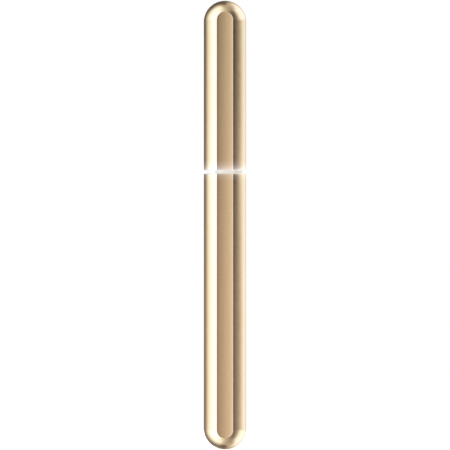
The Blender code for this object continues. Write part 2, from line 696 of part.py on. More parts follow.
def power_store(cell_wrap, nickel):
    top = CELL_LOW + CELL_LENGTH
    profile = [
        (0, top), (1.9, top), (1.9, top - 0.9), (CELL_RADIUS - 0.5, top - 0.9), (CELL_RADIUS, top - 1.3),
        (CELL_RADIUS, CELL_LOW + 0.4), (CELL_RADIUS - 0.4, CELL_LOW), (0, CELL_LOW),
    ]
    dress(turned("battery_cell", profile, 24, (0, CELL_Y)), cell_wrap)
    tabs = {"battery_tab_positive": (top + 0.1, top + 0.3), "battery_tab_negative": (CELL_LOW - 0.25, CELL_LOW - 0.05)}
    for name, span in tabs.items():
        dress(block(name, (-1.6, 1.6), (-1.9, 4.3), span), nickel)


def main_electronics(board, black, ferrite, can, steel, stem_plastic):
    low, high = BOARD_Y, BOARD_Y + BOARD_THICKNESS
    outline = box_outline(BOARD_HALF, BOARD_LOW, BOARD_TOP)
    dress(slab("main_board", [outline], low, high, "XZ"), board)
    front = low - 0.05
    core = block("transformer", (-5.1, 2.3), (front - 5.6, front), (60.2, 68.0))
    for z in (61.9, 64.9):
        cut(core, block(f"core_window_{z:.0f}", (-4.1, 1.3), (front - 6, front - 1.4), (z, z + 1.4)))
    dress(core, ferrite)
    dress(block("control_chip", (-3.0, 1.0), (front - 0.9, front), (71.0, 75.0)), black)
    bpy.ops.mesh.primitive_cylinder_add(
        radius=1.3 * MM, depth=6 * MM, vertices=16, location=(3.9 * MM, (front - 1.35) * MM, 65.0 * MM)
    )
    dress(as_mesh(bpy.context.object, "filter_capacitor"), can)
    for name, z in (("power", POWER_Z), ("mode", MODE_Z)):
        body = block(f"{name}_switch", (-2.1, 2.1), (high + 0.03, high + 1.6), (z - 2.1, z + 2.1))
        cut(body, cross_rod(f"{name}_switch_bore", 1.0, 0, z, high + 0.9, high + 2.5))
        dress(body, steel)
        stem = cross_rod(f"{name}_switch_stem", 0.9, 0, z, high + 1.4, KEY_BACK - 0.05)
        dress(stem, stem_plastic, pivot=(0, KEY_BACK, z))


KEY_BACK, KEY_FLANGE_TOP, KEY_FACE = 5.5, 6.05, 7.78
KEY_DISH = 30.0


def keys(satin_gold, rubber):
    """Two keys in the rear panel, each held in by its own flange, with a gasket behind the shell."""
    for name, z in (("power_key", POWER_Z), ("mode_key", MODE_Z)):
        cap = slab(name, [key_outline(z)], KEY_BACK + 0.2, KEY_FACE, "XZ")
        join(cap, slab(name + "_flange", [key_outline(z, 0.5)], KEY_BACK, KEY_FLANGE_TOP, "XZ"))
        bpy.ops.mesh.primitive_cylinder_add(
            radius=KEY_DISH * MM, depth=20 * MM, vertices=256, rotation=(0, math.pi / 2, 0),
            location=(0, (KEY_FACE + KEY_DISH - 0.15) * MM, z * MM),
        )
        cut(cap, as_mesh(bpy.context.object, name + "_dish"))
        dress(cap, satin_gold, pivot=(0, KEY_FACE, z))
    frame = strip_outline(3.4, MODE_Z - 5.4, POWER_Z + 5.4, True, True)
    holes = [key_outline(z, KEY_FIT) for z in (MODE_Z, POWER_Z)]
    dress(slab("button_gasket", [frame, *holes], KEY_FLANGE_TOP + 0.08, REAR_WALL - 0.08, "XZ"), rubber)


def leads(red, black, blue, white, film):
    """Internal wiring, at its real length along its fixed routes."""
    cell_top = CELL_LOW + CELL_LENGTH
    rear = BOARD_Y + BOARD_THICKNESS
    positive = [(-1.0, 4.75, cell_top + 0.2), (-1.2, 4.9, 58.2), (-1.5, 4.5, 59.4), (-1.6, rear + 0.5, 60.6)]
    wire("battery_lead_red", positive, 0.4, red)
    along = [(-3.4, 5.5, 20.0), (-3.4, 5.5, 36.0), (-3.4, 5.5, 52.0)]
    start, end = [(-1.2, 4.75, CELL_LOW - 0.15), (-2.9, 5.3, 14.6)], [(-3.8, 5.3, 57.0), (-3.5, rear + 0.5, 61.4)]
    wire("battery_lead_black", start + along + end, 0.4, black)
    hot = [(4.4, rear + 0.5, 78.6), (3.4, 4.9, 81.4), (2.5, 5.15, 84.5), (2.5, 5.15, 88.4), (2.5, 4.55, 89.6)]
    wire("piezo_lead_hot", hot, 0.35, blue)
    ground = [(-4.4, rear + 0.5, 78.6), (-3.4, 4.9, 81.4), (-2.5, 5.15, 83.5), (-2.4, 4.95, 85.6)]
    wire("piezo_lead_ground", ground, 0.35, white)
    glow = [(0, rear + 0.5, 79.4), (0, 5.4, 82.5), (0, 5.85, 97.5), (0, 5.4, 100.6), (0, 5.3, COLLAR_TOP)]
    wire("led_lead", glow, 0.35, red)
    path = [(2.65, 6.6), (2.65, 9.2), (5.2, 11.5), (5.2, 57.3), (3.6, 59.4), (3.6, 61.4)]
    dress(slab("charge_flex", [ribbon(path, 0.16)], 0.6, 3.6, "YZ"), film)


def ribbon(path, thickness):
    """The outline of a thin strip seen on edge, along the path."""
    sides = ([], [])
    for i, point in enumerate(path):
        before, after = path[max(i - 1, 0)], path[min(i + 1, len(path) - 1)]
        along = Vector((after[0] - before[0], after[1] - before[1])).normalized()
        for side, sign in zip(sides, (1, -1)):
            side.append((point[0] - sign * along.y * thickness / 2, point[1] + sign * along.x * thickness / 2))
    return sides[0] + sides[1][::-1]


def build():
    clear_scene()
    gold = material("gold_anodised", (0.78, 0.64, 0.46), 0.28, 1.0)
    satin_gold = material("gold_satin", (0.70, 0.57, 0.41), 0.42, 1.0)
    soft_gold = material("gold_soft_touch", (0.66, 0.54, 0.39), 0.55)
    steel = material("stainless_steel", (0.72, 0.72, 0.72), 0.22, 1.0)
    aluminium = material("machined_aluminium", (0.78, 0.79, 0.80), 0.35, 1.0)
    diffuser = material("light_diffuser", (1.0, 1.0, 0.98), 0.4, glow=3.0)
    white_plastic = material("white_plastic", (0.86, 0.86, 0.84), 0.4)
    grey_plastic = material("grey_plastic", (0.22, 0.23, 0.24), 0.5)
    rubber = material("silicone", (0.85, 0.84, 0.82), 0.6)
    board = material("circuit_board", (0.05, 0.22, 0.12), 0.45)
    black = material("black_resin", (0.03, 0.03, 0.03), 0.45)
    ferrite = material("ferrite", (0.12, 0.12, 0.13), 0.6)
    can = material("capacitor_sleeve", (0.06, 0.07, 0.12), 0.4)
    led = material("led_package", (0.95, 0.92, 0.75), 0.4)
    ceramic = material("piezo_ceramic", (0.80, 0.76, 0.66), 0.5)
    brass = material("brass", (0.78, 0.62, 0.30), 0.3, 1.0)
    nickel = material("nickel", (0.68, 0.67, 0.64), 0.3, 1.0)
    cell_wrap = material("cell_wrap", (0.10, 0.28, 0.55), 0.4)
    red = material("lead_red", (0.60, 0.06, 0.05), 0.5)
    black_lead = material("lead_black", (0.03, 0.03, 0.03), 0.5)
    blue = material("lead_blue", (0.08, 0.16, 0.50), 0.5)
    white_lead = material("lead_white", (0.85, 0.85, 0.83), 0.5)
    film = material("polyimide_film", (0.62, 0.33, 0.08), 0.35)

    handle_shell(gold)
    cap_shell(gold)
    inlays(satin_gold)
    cap_liner(white_plastic)
    neck(white_plastic, diffuser, board, led, rubber)
    collar_screws(steel)
    blade(steel)
    boot(rubber)
    transducer(aluminium, steel, ceramic, brass, rubber)
    chassis(grey_plastic)
    power_store(cell_wrap, nickel)
    main_electronics(board, black, ferrite, can, steel, black)
    keys(satin_gold, rubber)
    leads(red, black_lead, blue, white_lead, film)
    charging_port(steel, black, board, rubber)
    port_cover(soft_gold)


build()
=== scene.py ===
import json
import math

import bmesh
import bpy
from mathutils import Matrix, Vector


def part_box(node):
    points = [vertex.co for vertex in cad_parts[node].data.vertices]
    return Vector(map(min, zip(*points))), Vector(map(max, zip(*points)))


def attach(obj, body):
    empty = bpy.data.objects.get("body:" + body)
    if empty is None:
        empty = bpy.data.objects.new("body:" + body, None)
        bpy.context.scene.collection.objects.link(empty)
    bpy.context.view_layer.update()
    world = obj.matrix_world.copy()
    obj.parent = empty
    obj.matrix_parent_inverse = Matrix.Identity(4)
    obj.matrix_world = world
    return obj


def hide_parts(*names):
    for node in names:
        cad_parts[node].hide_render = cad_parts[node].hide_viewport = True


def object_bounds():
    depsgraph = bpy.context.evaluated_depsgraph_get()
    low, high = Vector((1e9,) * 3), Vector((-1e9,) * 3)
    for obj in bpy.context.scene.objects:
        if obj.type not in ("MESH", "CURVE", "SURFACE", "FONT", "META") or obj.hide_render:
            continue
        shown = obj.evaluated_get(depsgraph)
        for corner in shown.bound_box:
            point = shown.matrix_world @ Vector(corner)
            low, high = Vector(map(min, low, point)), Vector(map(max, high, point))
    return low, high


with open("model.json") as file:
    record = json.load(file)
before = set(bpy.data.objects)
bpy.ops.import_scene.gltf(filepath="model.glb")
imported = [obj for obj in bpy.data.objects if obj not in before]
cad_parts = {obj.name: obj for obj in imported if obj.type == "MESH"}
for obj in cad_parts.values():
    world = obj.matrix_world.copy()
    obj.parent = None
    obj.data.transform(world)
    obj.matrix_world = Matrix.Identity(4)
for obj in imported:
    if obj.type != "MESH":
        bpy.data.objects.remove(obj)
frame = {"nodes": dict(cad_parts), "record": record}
cad_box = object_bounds()

# The looks of a slim ultrasonic skin scrubber: a champagne-gold wand with a lit seam and a pull-off cap.
# Sizes are in millimetres, and the helpers turn them into metres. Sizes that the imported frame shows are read
# from it. The others repeat the CAD's, or are details that only this model has.
MM = 0.001


def span(node, axis):
    """Lowest and highest place of a CAD node along x, y or z, in millimetres."""
    low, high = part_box(node)
    index = "xyz".index(axis)
    return low[index] / MM, high[index] / MM


# The shells: their outline and wall, and the rounding of the two rims at the seam.
LENGTH = cad_box[1].z / MM
RADIUS = span("handle_shell", "x")[1]
HANDLE_TOP = span("handle_shell", "z")[1]
CAP_BOTTOM = span("cap_shell", "z")[0]
CAP_DOME = LENGTH - RADIUS
WALL = 0.9
BORE = RADIUS - WALL
RIM, RIM_MARGIN = 0.22, 0.01
SKIN_MARGIN = 0.004

# The strips in the front and the back. They and their pockets run past the seam, and are then cut at it.
STRIP_HALF = span("cap_front_inlay", "x")[1]
STRIP_FIT, STRIP_EDGE, OVERRUN = 0.02, 0.03, 12.0
FRONT_LOW, FRONT_HIGH = span("handle_front_inlay", "z")[0], span("cap_front_inlay", "z")[1]
FRONT_BACK = -span("handle_front_inlay", "y")[1]
TROUGH_FLOOR, TROUGH_RADIUS = 7.2, 20.8
REAR_LOW, REAR_HIGH = span("handle_rear_panel", "z")[0], span("cap_rear_inlay", "z")[1]
REAR_BACK, REAR_FACE = span("handle_rear_panel", "y")
SEAT_GAP = 0.03
FRONT_SEAT, REAR_SEAT = FRONT_BACK - SEAT_GAP, REAR_BACK - SEAT_GAP
FRONT_WALL, REAR_WALL = FRONT_SEAT - 0.6, REAR_SEAT - 0.55
EDGE_RISE, EDGE_WIDTH = 0.05, 0.6

# A cutter's mouth is rounded by a lip through LIP_TURN degrees, widens by FLARE, and ends CLEAR outside.
FRONT_LIP, REAR_LIP, LIP_TURN, FLARE, CLEAR = 0.04, 0.05, 60, 0.2, 3.0

# The two keys, which are dished along the wand and kept in by a flange, and the marks engraved in them.
KEY_HALF, KEY_LENGTH = span("power_key", "x")[1] - 0.5, 7.2
KEY_BACK, KEY_FACE = 5.5, 7.78
KEY_FLANGE, KEY_FLANGE_TOP = 0.5, 6.05
KEY_FIT, KEY_EDGE, KEY_DISH, KEY_DISH_DEPTH = 0.1, 0.25, 30.0, 0.15
KEYS = {name: sum(span(name, "z")) / 2 for name in ("power_key", "mode_key")}
HOLE_LOW, HOLE_HIGH = 5.0, 12.0
MARK_RADIUS, MARK_LINE, MARK_DEPTH, MARK_TOP = 0.85, 0.16, 0.07, 9.0
POWER_GAP, BAR_START, BAR_BEYOND = 40, 0.1, 0.25

# The port in the foot, its cover and the cover's fixed end, which follow the dome a little under its skin.
PORT_HALF, PORT_REACH = 2.85, 1.8
COVER_HALF, COVER_REACH = 2.9, 2.7
COVER_THICKNESS, COVER_SUNK, COVER_EDGE, COVER_FIT = 0.5, 0.01, 0.12, 0.1
COVER_SEAT_GAP, ANCHOR_SEAT_GAP, SEAT_LIP = 0.05, 0.04, 0.08
ANCHOR_MIDDLE, ANCHOR_REACH, ANCHOR_PIN, PIN_HOLE = -5.9, 1.3, (-6.4, 0.0), 0.6
HINGE_GAP, RELIEF_RADIUS, RELIEF_X, RELIEF_Z = 0.05, 0.6, -5.65, 2.85
CONTACTS, CONTACT_PITCH = 12, 0.5

# The neck and the blade, which is bent from a flat blank and has a narrow tang.
TUBE_CLEAR, TUBE_EDGE = 4.5, 0.12
BLADE_HALF, TANG_HALF, BLADE_THICKNESS = span("spatula_blade", "x")[1], 3.1, 0.9
TANG_LOW, TANG_TOP, SHOULDER_TOP = span("spatula_blade", "z")[0], 121.0, 130.0
BEND_START, BEND_RADIUS, BEND_TURN, TIP_LENGTH = 148.0, 20.0, math.radians(24.0), 5.0
TIP_CORNER, EDGE_LENGTH, EDGE_SHARE = 2.0, 2.4, 0.3
BLANK_LENGTH = BEND_START + BEND_RADIUS * BEND_TURN + TIP_LENGTH
RIVET_HEIGHTS, RIVET_HOLE = (104.2, 108.8), 0.75

# Fineness of the meshes, how close points are welded, and the angle from which an edge is sharp.
ROUND, FINE_ROUND = 96, 256
WELD, SHARP_ANGLE = 1e-7, 32.0


# Mesh helpers ----------------------------------------
def link(name, mesh):
    """A new object in the scene."""
    obj = bpy.data.objects.new(name, mesh)
    bpy.context.scene.collection.objects.link(obj)
    return obj


def solid(name, rings, ends="capped"):
    """A body from rings of points, all of one count.

    Its ends are "capped" flat, "joined" to each other, left "open", or already "shrunk" to a point or a line.
    """
    bm = bmesh.new()
    made = [[bm.verts.new(Vector(point) * MM) for point in ring] for ring in rings]
    pairs = list(zip(made, made[1:]))
    if ends == "joined":
        pairs.append((made[-1], made[0]))
    for low, high in pairs:
        for i in range(len(low)):
            j = (i + 1) % len(low)
            bm.faces.new((low[i], low[j], high[j], high[i]))
    if ends == "capped":
        bm.faces.new(made[0][::-1])
        bm.faces.new(made[-1])
    bmesh.ops.remove_doubles(bm, verts=bm.verts, dist=WELD)
    bmesh.ops.dissolve_degenerate(bm, edges=bm.edges, dist=WELD)
    loose = [edge for edge in bm.edges if not edge.link_faces]
    bmesh.ops.delete(bm, geom=loose, context="EDGES")
    bmesh.ops.recalc_face_normals(bm, faces=bm.faces)
    mesh = bpy.data.meshes.new(name)
    bm.to_mesh(mesh)
    bm.free()
    return link(name, mesh)


def turns(start, end, steps):
    """Evenly spaced turns in radians, with both ends, between two given in degrees."""
    return [math.radians(start + (end - start) * i / steps) for i in range(steps + 1)]


def arc(centre, radius, start, end, steps):
    """Points on an arc in a plane, with both ends, which are given in degrees."""
    x, y = centre
    return [(x + radius * math.cos(t), y + radius * math.sin(t)) for t in turns(start, end, steps)]


def circle(centre, radius, count=ROUND):
    """Points once round a circle in a plane."""
    return arc(centre, radius, 0, 360 - 360 / count, count - 1)


def turned(name, profile, steps=FINE_ROUND, centre=(0, 0)):
    """A profile turned about a line along Z. It ends on the line, or else its two ends are joined.

    A point is (radius, height), or (radius, height, front, rear) where the ring is cut flat at those depths.
    """
    rings = []
    for radius, height, *flats in profile:
        front, rear = flats or (radius, radius)
        ring = []
        for i in range(steps):
            turn = math.tau * (i + 0.5) / steps
            x, y = radius * math.cos(turn), radius * math.sin(turn)
            ring.append((centre[0] + x, centre[1] + min(max(y, -front), rear), height))
        rings.append(ring)
    return solid(name, rings, "joined" if profile[0][0] > 0 else "shrunk")


def slot_spots(low, high, steps=24, runs=1, stops=None):
    """Round a slot shape, as (place on its middle line, outward direction).

    Its middle line runs from low to high. Its sides are divided at the stops, or else into equal runs.
    """
    if stops is None:
        stops = [low + (high - low) * i / runs for i in range(1, runs)]
    spots = [((0, high), way) for way in arc((0, 0), 1, 0, 180, steps)]
    spots += [((0, place), (-1, 0)) for place in reversed(stops)]
    spots += [((0, low), way) for way in arc((0, 0), 1, 180, 360, steps)]
    spots += [((0, place), (1, 0)) for place in stops]
    return spots


def pad(name, spots, steps, place, ends="shrunk"):
    """A body of rings round a slot shape.

    Each step is (reach from the shape's middle line, height). A height may be a function of u and v.
    """
    rings = []
    for reach, height in steps:
        ring = []
        for (mu, mv), (nu, nv) in spots:
            u, v = mu + nu * reach, mv + nv * reach
            ring.append(place(u, v, height(u, v) if callable(height) else height))
        rings.append(ring)
    return solid(name, rings, ends)


def front_place(u, v, h):
    """Where a pad's point lies on the wand's front, at u across, v along and h outwards."""
    return (u, -h, v)


def rear_place(u, v, h):
    """The same on the wand's back."""
    return (u, h, v)


def foot_place(u, v, h):
    """The same under the foot, where v runs to the right and h down."""
    return (v, u, -h)


def rod(name, radius, x, z, low, high, steps=32):
    """A round rod along Y."""
    ring = circle((x, z), radius, steps)
    return solid(name, [[(px, y, pz) for px, pz in ring] for y in (low, high)])


def merged(name, objects):
    """One object from several that don't touch."""
    bm = bmesh.new()
    for obj in objects:
        bm.from_mesh(obj.data)
        bpy.data.objects.remove(obj)
    mesh = bpy.data.meshes.new(name)
    bm.to_mesh(mesh)
    bm.free()
    return link(name, mesh)


def smooth_route(points):
    """A Catmull-Rom curve through the points, with six steps from each to the next."""
    steps = 6
    points = [Vector(point) for point in points]
    padded = [2 * points[0] - points[1], *points, 2 * points[-1] - points[-2]]
    route = []
    for a, b, c, d in zip(padded, padded[1:], padded[2:], padded[3:]):
        for step in range(steps):
            t = step / steps
            bend = (2 * a - 5 * b + 4 * c - d) * t**2 + (3 * b - a - 3 * c + d) * t**3
            route.append(0.5 * (2 * b + (c - a) * t + bend))
    return [*route, points[-1]]


def evaluated(obj):
    """Fixes obj's modifiers into its mesh."""
    graph = bpy.context.evaluated_depsgraph_get()
    mesh = bpy.data.meshes.new_from_object(obj.evaluated_get(graph))
    obj.modifiers.clear()
    obj.data = mesh
    return obj


def boolean(obj, tool, operation="DIFFERENCE"):
    """Cuts, joins or intersects obj with tool, and removes tool."""
    modifier = obj.modifiers.new(operation, "BOOLEAN")
    modifier.operation = operation
    modifier.object = tool
    evaluated(obj)
    bpy.data.objects.remove(tool)
    return obj


def trim(obj, height, keep_below):
    """Cuts obj square at a height and closes the cut."""
    bm = bmesh.new()
    bm.from_mesh(obj.data)
    geometry = [*bm.verts, *bm.edges, *bm.faces]
    place, away = (0, 0, height * MM), (0, 0, 1 if keep_below else -1)
    cut = bmesh.ops.bisect_plane(bm, geom=geometry, plane_co=place, plane_no=away, clear_outer=True)
    rim = [item for item in cut["geom_cut"] if isinstance(item, bmesh.types.BMEdge)]
    bmesh.ops.holes_fill(bm, edges=rim)
    bmesh.ops.recalc_face_normals(bm, faces=bm.faces)
    bm.to_mesh(obj.data)
    bm.free()
    return obj


def piece(obj, looks, slot, body, *nodes):
    """Finishes a new piece: its material and slot, shading, body, and the CAD nodes that it stands for."""
    obj.data.materials.clear()
    obj.data.materials.append(looks[slot])
    obj.data.shade_smooth()
    obj.data.set_sharp_from_angle(angle=math.radians(SHARP_ANGLE))
    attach(obj, body)
    if nodes:
        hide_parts(*nodes)
    return obj


def crisp(shell):
    """Marks where a shell's outer skin meets a cut as a sharp edge, so that no cut shades the skin."""
    bm = bmesh.new()
    bm.from_mesh(shell.data)

    def on_skin(vert):
        x, y, z = vert.co / MM
        beyond = z - min(max(z, RADIUS), CAP_DOME)
        return abs(math.sqrt(x**2 + y**2 + beyond**2) - RADIUS) < SKIN_MARGIN

    skin = {vert: on_skin(vert) for vert in bm.verts}
    outer = {face: all(skin[vert] for vert in face.verts) for face in bm.faces}
    for edge in bm.edges:
        low, high = sorted(vert.co.z / MM for vert in edge.verts)
        at_rim = low > HANDLE_TOP - RIM - RIM_MARGIN and high < CAP_BOTTOM + RIM + RIM_MARGIN
        if not at_rim and len({outer[face] for face in edge.link_faces}) > 1:
            edge.smooth = False
    bm.to_mesh(shell.data)
    bm.free()


# Materials ----------------------------------------
def add_node(tree, kind, links=None, **settings):
    """A shader node with its settings, and its inputs set to values or linked from other nodes' outputs."""
    made = tree.nodes.new(kind)
    for key, value in settings.items():
        setattr(made, key, value)
    for key, value in (links or {}).items():
        if isinstance(value, bpy.types.NodeSocket):
            tree.links.new(value, made.inputs[key])
        else:
            made.inputs[key].default_value = value
    return made


def fill_ramp(ramp, stops):
    """Sets a colour ramp to (place, grey or colour) stops."""
    ramp.interpolation = "LINEAR"
    while len(ramp.elements) > 1:
        ramp.elements.remove(ramp.elements[-1])
    for number, (place, value) in enumerate(stops):
        element = ramp.elements[0] if number == 0 else ramp.elements.new(place)
        element.position = place
        element.color = (*value, 1) if isinstance(value, tuple) else (value, value, value, 1)


class Look:
    """A Principled material with the nodes that vary its colour, roughness and bump over the surface."""

    def __init__(self, name, colour, roughness, metallic=0.0):
        self.material = bpy.data.materials.new(name)
        self.material.use_nodes = True
        self.tree = self.material.node_tree
        self.shader = self.tree.nodes["Principled BSDF"]
        self.set("Base Color", (*colour, 1))
        self.set("Roughness", roughness)
        self.set("Metallic", metallic)
        self.colour, self.roughness = colour, roughness
        self.place = self.node("ShaderNodeTexCoord").outputs["Object"]
        self.normal = None

    def set(self, socket, value):
        """Sets a value that is the same all over the surface."""
        self.shader.inputs[socket].default_value = value

    def drive(self, socket, output):
        """Links a value that varies over the surface."""
        self.tree.links.new(output, self.shader.inputs[socket])

    def node(self, kind, links=None, **settings):
        return add_node(self.tree, kind, links, **settings)

    def stretched(self, x, y, z):
        """The place on the object, with each axis scaled."""
        return self.node("ShaderNodeMapping", {"Vector": self.place, "Scale": (x, y, z)}).outputs["Vector"]

    def noise(self, size, detail=2.0, stretch=(1, 1, 1)):
        """Noise from 0 to 1, whose lumps are about size millimetres across where stretch is 1."""
        links = {"Vector": self.stretched(*stretch), "Scale": 1 / (size * MM), "Detail": detail}
        return self.node("ShaderNodeTexNoise", links).outputs["Fac"]

    def ranged(self, value, low, high, start=0.3, end=0.7):
        """Low to high as the value goes from start to end."""
        links = {"Value": value, "From Min": start, "From Max": end, "To Min": low, "To Max": high}
        return self.node("ShaderNodeMapRange", links).outputs["Result"]

    def rising(self, low, high):
        """0 to 1 along the wand, from low to high in millimetres."""
        height = self.node("ShaderNodeSeparateXYZ", {"Vector": self.place}).outputs["Z"]
        return self.ranged(height, 0, 1, low * MM, high * MM)

    def vary_roughness(self, fac, spread):
        """Makes the surface duller where fac is high and glossier where it is low, by spread either way."""
        self.drive("Roughness", self.ranged(fac, self.roughness - spread, self.roughness + spread))

    def tint(self, fac, other, start=0.3, end=0.7):
        """Blends the base colour towards other where fac is high."""
        links = {"Factor": self.ranged(fac, 0, 1, start, end), "A": (*self.colour, 1), "B": (*other, 1)}
        mix = self.node("ShaderNodeMix", data_type="RGBA")
        for key, value in links.items():
            socket = [s for s in mix.inputs if s.name == key and s.enabled][0]
            if isinstance(value, bpy.types.NodeSocket):
                self.tree.links.new(value, socket)
            else:
                socket.default_value = value
        self.drive("Base Color", [s for s in mix.outputs if s.enabled][0])

    def bump(self, fac, depth, strength=1.0):
        """Raises the surface where fac is high, by depth millimetres at most."""
        links = {"Height": fac, "Strength": strength, "Distance": depth * MM}
        if self.normal is not None:
            links["Normal"] = self.normal
        self.normal = self.node("ShaderNodeBump", links).outputs["Normal"]
        self.drive("Normal", self.normal)


GOLD, GOLD_DEEP = (0.855, 0.745, 0.546), (0.835, 0.715, 0.515)
SATIN, SATIN_DEEP = (0.84, 0.68, 0.475), (0.81, 0.65, 0.45)

# The seam's light on the metal: its reach, its tint, and (distance from the seam, strength) on each side.
GLOW_BELOW, GLOW_ABOVE, GLOW_TINT = 3.2, 4.6, (0.78, 0.88, 1.0)
GLOW_FALL_BELOW = [(0.0, 0.18), (0.4, 0.12), (1.2, 0.06), (2.2, 0.02)]
GLOW_FALL_ABOVE = [(0.0, 0.40), (0.5, 0.30), (1.2, 0.19), (2.2, 0.08), (3.4, 0.03)]


def seam_light(look):
    """The white light that the lit seam throws on the metal beside it, fading out over a few millimetres."""
    place = look.node("ShaderNodeNewGeometry").outputs["Position"]
    height = look.node("ShaderNodeSeparateXYZ", {"Vector": place}).outputs["Z"]
    low, high = HANDLE_TOP - GLOW_BELOW, CAP_BOTTOM + GLOW_ABOVE
    ramp = look.node("ShaderNodeValToRGB", {"Fac": look.ranged(height, 0, 1, low * MM, high * MM)})
    whole = GLOW_BELOW + GLOW_ABOVE + CAP_BOTTOM - HANDLE_TOP
    stops = [(0, 0)]
    stops += [((GLOW_BELOW - distance) / whole, glow) for distance, glow in reversed(GLOW_FALL_BELOW)]
    stops += [((whole - GLOW_ABOVE + distance) / whole, glow) for distance, glow in GLOW_FALL_ABOVE]
    stops += [(1, 0)]
    fill_ramp(ramp.color_ramp, stops)
    look.drive("Emission Strength", ramp.outputs["Color"])
    look.set("Emission Color", (*GLOW_TINT, 1))


def gold_anodised():
    """The shells: gold with faint clouds, slightly uneven gloss and a very fine grain."""
    look = Look("gold_anodised", GOLD, 0.22, 1.0)
    cloud = look.noise(9.0, 3.0)
    grain = look.noise(0.09, 2.0)
    look.tint(cloud, GOLD_DEEP)
    look.vary_roughness(look.noise(2.5, 4.0), 0.03)
    look.bump(grain, 0.004, 0.12)
    seam_light(look)
    return look.material


def gold_satin():
    """The strips and keys: a redder gold, brushed along the wand."""
    look = Look("gold_satin", SATIN, 0.24, 1.0)
    brushed = look.noise(0.12, 3.0, (1, 1, 0.02))
    streaks = look.noise(1.0, 3.0, (1, 1, 0.05))
    look.tint(streaks, SATIN_DEEP)
    look.vary_roughness(brushed, 0.05)
    look.bump(brushed, 0.004, 0.2)
    seam_light(look)
    return look.material


def gold_soft_touch():
    """The port cover's metallised lacquer over rubber: close to the shell's gold, a little duller."""
    look = Look("gold_soft_touch", (0.84, 0.73, 0.53), 0.27, 1.0)
    look.tint(look.noise(6.0, 3.0), (0.82, 0.70, 0.50))
    look.vary_roughness(look.noise(0.8, 3.0), 0.04)
    look.bump(look.noise(0.12, 2.0), 0.004, 0.3)
    return look.material


def light_diffuser():
    """The lit ring: frosted white plastic that glows a little unevenly."""
    look = Look("light_diffuser", (0.95, 0.95, 0.94), 0.35)
    look.set("Emission Color", (1, 1, 0.985, 1))
    look.vary_roughness(look.noise(0.6, 3.0), 0.06)
    look.tint(look.noise(1.6, 3.0), (0.90, 0.91, 0.92))
    look.drive("Emission Strength", look.ranged(look.noise(3.0, 1.0), 0.18, 0.26))
    look.bump(look.noise(0.2, 2.0), 0.01, 0.4)
    return look.material


def plastic(name, colour, other, roughness=0.42, lump=0.15, depth=0.008):
    """Moulded plastic: faint flow shading, fine spark-eroded texture and uneven gloss."""
    look = Look(name, colour, roughness)
    look.tint(look.noise(5.0, 3.0), other)
    look.vary_roughness(look.noise(1.2, 4.0), 0.07)
    look.bump(look.noise(lump, 2.0), depth, 0.5)
    return look.material


def silicone():
    """The boot and the seals: matt, slightly translucent rubber."""
    look = Look("silicone", (0.84, 0.83, 0.80), 0.48)
    look.set("Subsurface Weight", 0.25)
    look.set("Subsurface Radius", (0.002, 0.0015, 0.0012))
    look.tint(look.noise(4.0, 3.0), (0.79, 0.78, 0.75))
    look.vary_roughness(look.noise(0.7, 4.0), 0.08)
    look.bump(look.noise(0.25, 2.0), 0.012, 0.4)
    return look.material


def metal(name, colour, other, roughness, stretch=(1, 1, 1)):
    """Worked metal: its tool marks follow stretch, which is small along them."""
    look = Look(name, colour, roughness, 1.0)
    marks = look.noise(0.15, 3.0, stretch)
    look.tint(look.noise(4.0, 3.0), other)
    look.vary_roughness(marks, min(0.07, roughness * 0.4))
    look.bump(marks, 0.003, 0.5)
    return look.material


def lead(name, colour):
    """A lead's insulation: a softer, lumpier skin, darker in places."""
    other = tuple(0.8 * value + 0.02 for value in colour)
    return plastic(name, colour, other, 0.45, 0.3, 0.01)


def circuit_board():
    """Solder mask over copper: slightly lighter tracks, a fine weave and specks of tinned pads."""
    look = Look("circuit_board", (0.02, 0.16, 0.08), 0.35)
    tracks = look.node("ShaderNodeTexBrick", {
        "Vector": look.stretched(1, 0.3, 1), "Scale": 260.0, "Mortar Size": 0.14, "Mortar Smooth": 0.1,
        "Color1": (0, 0, 0, 1), "Color2": (0, 0, 0, 1), "Mortar": (1, 1, 1, 1),
    }, offset=0.37).outputs["Fac"]
    look.tint(tracks, (0.05, 0.30, 0.14), 0.2, 0.8)
    look.vary_roughness(look.noise(0.8, 3.0), 0.08)
    look.bump(tracks, 0.03, 0.6)
    look.bump(look.noise(0.3, 1.0), 0.01, 0.3)
    return look.material


def piezo_ceramic():
    """Fired ceramic: matt, fine-grained and mottled."""
    look = Look("piezo_ceramic", (0.74, 0.69, 0.58), 0.55)
    look.tint(look.noise(0.4, 4.0), (0.66, 0.61, 0.50))
    look.vary_roughness(look.noise(0.6, 3.0), 0.1)
    look.bump(look.noise(0.12, 3.0), 0.015, 0.6)
    return look.material


def cell_wrap():
    """The cell's shrink sleeve: shiny blue film, slightly wrinkled along the cell."""
    look = Look("cell_wrap", (0.05, 0.17, 0.42), 0.3, 0.35)
    look.tint(look.noise(3.0, 2.0, (1, 1, 0.15)), (0.03, 0.13, 0.36))
    look.vary_roughness(look.noise(1.0, 3.0), 0.07)
    look.bump(look.noise(1.6, 2.0, (1, 1, 0.25)), 0.03, 0.5)
    return look.material


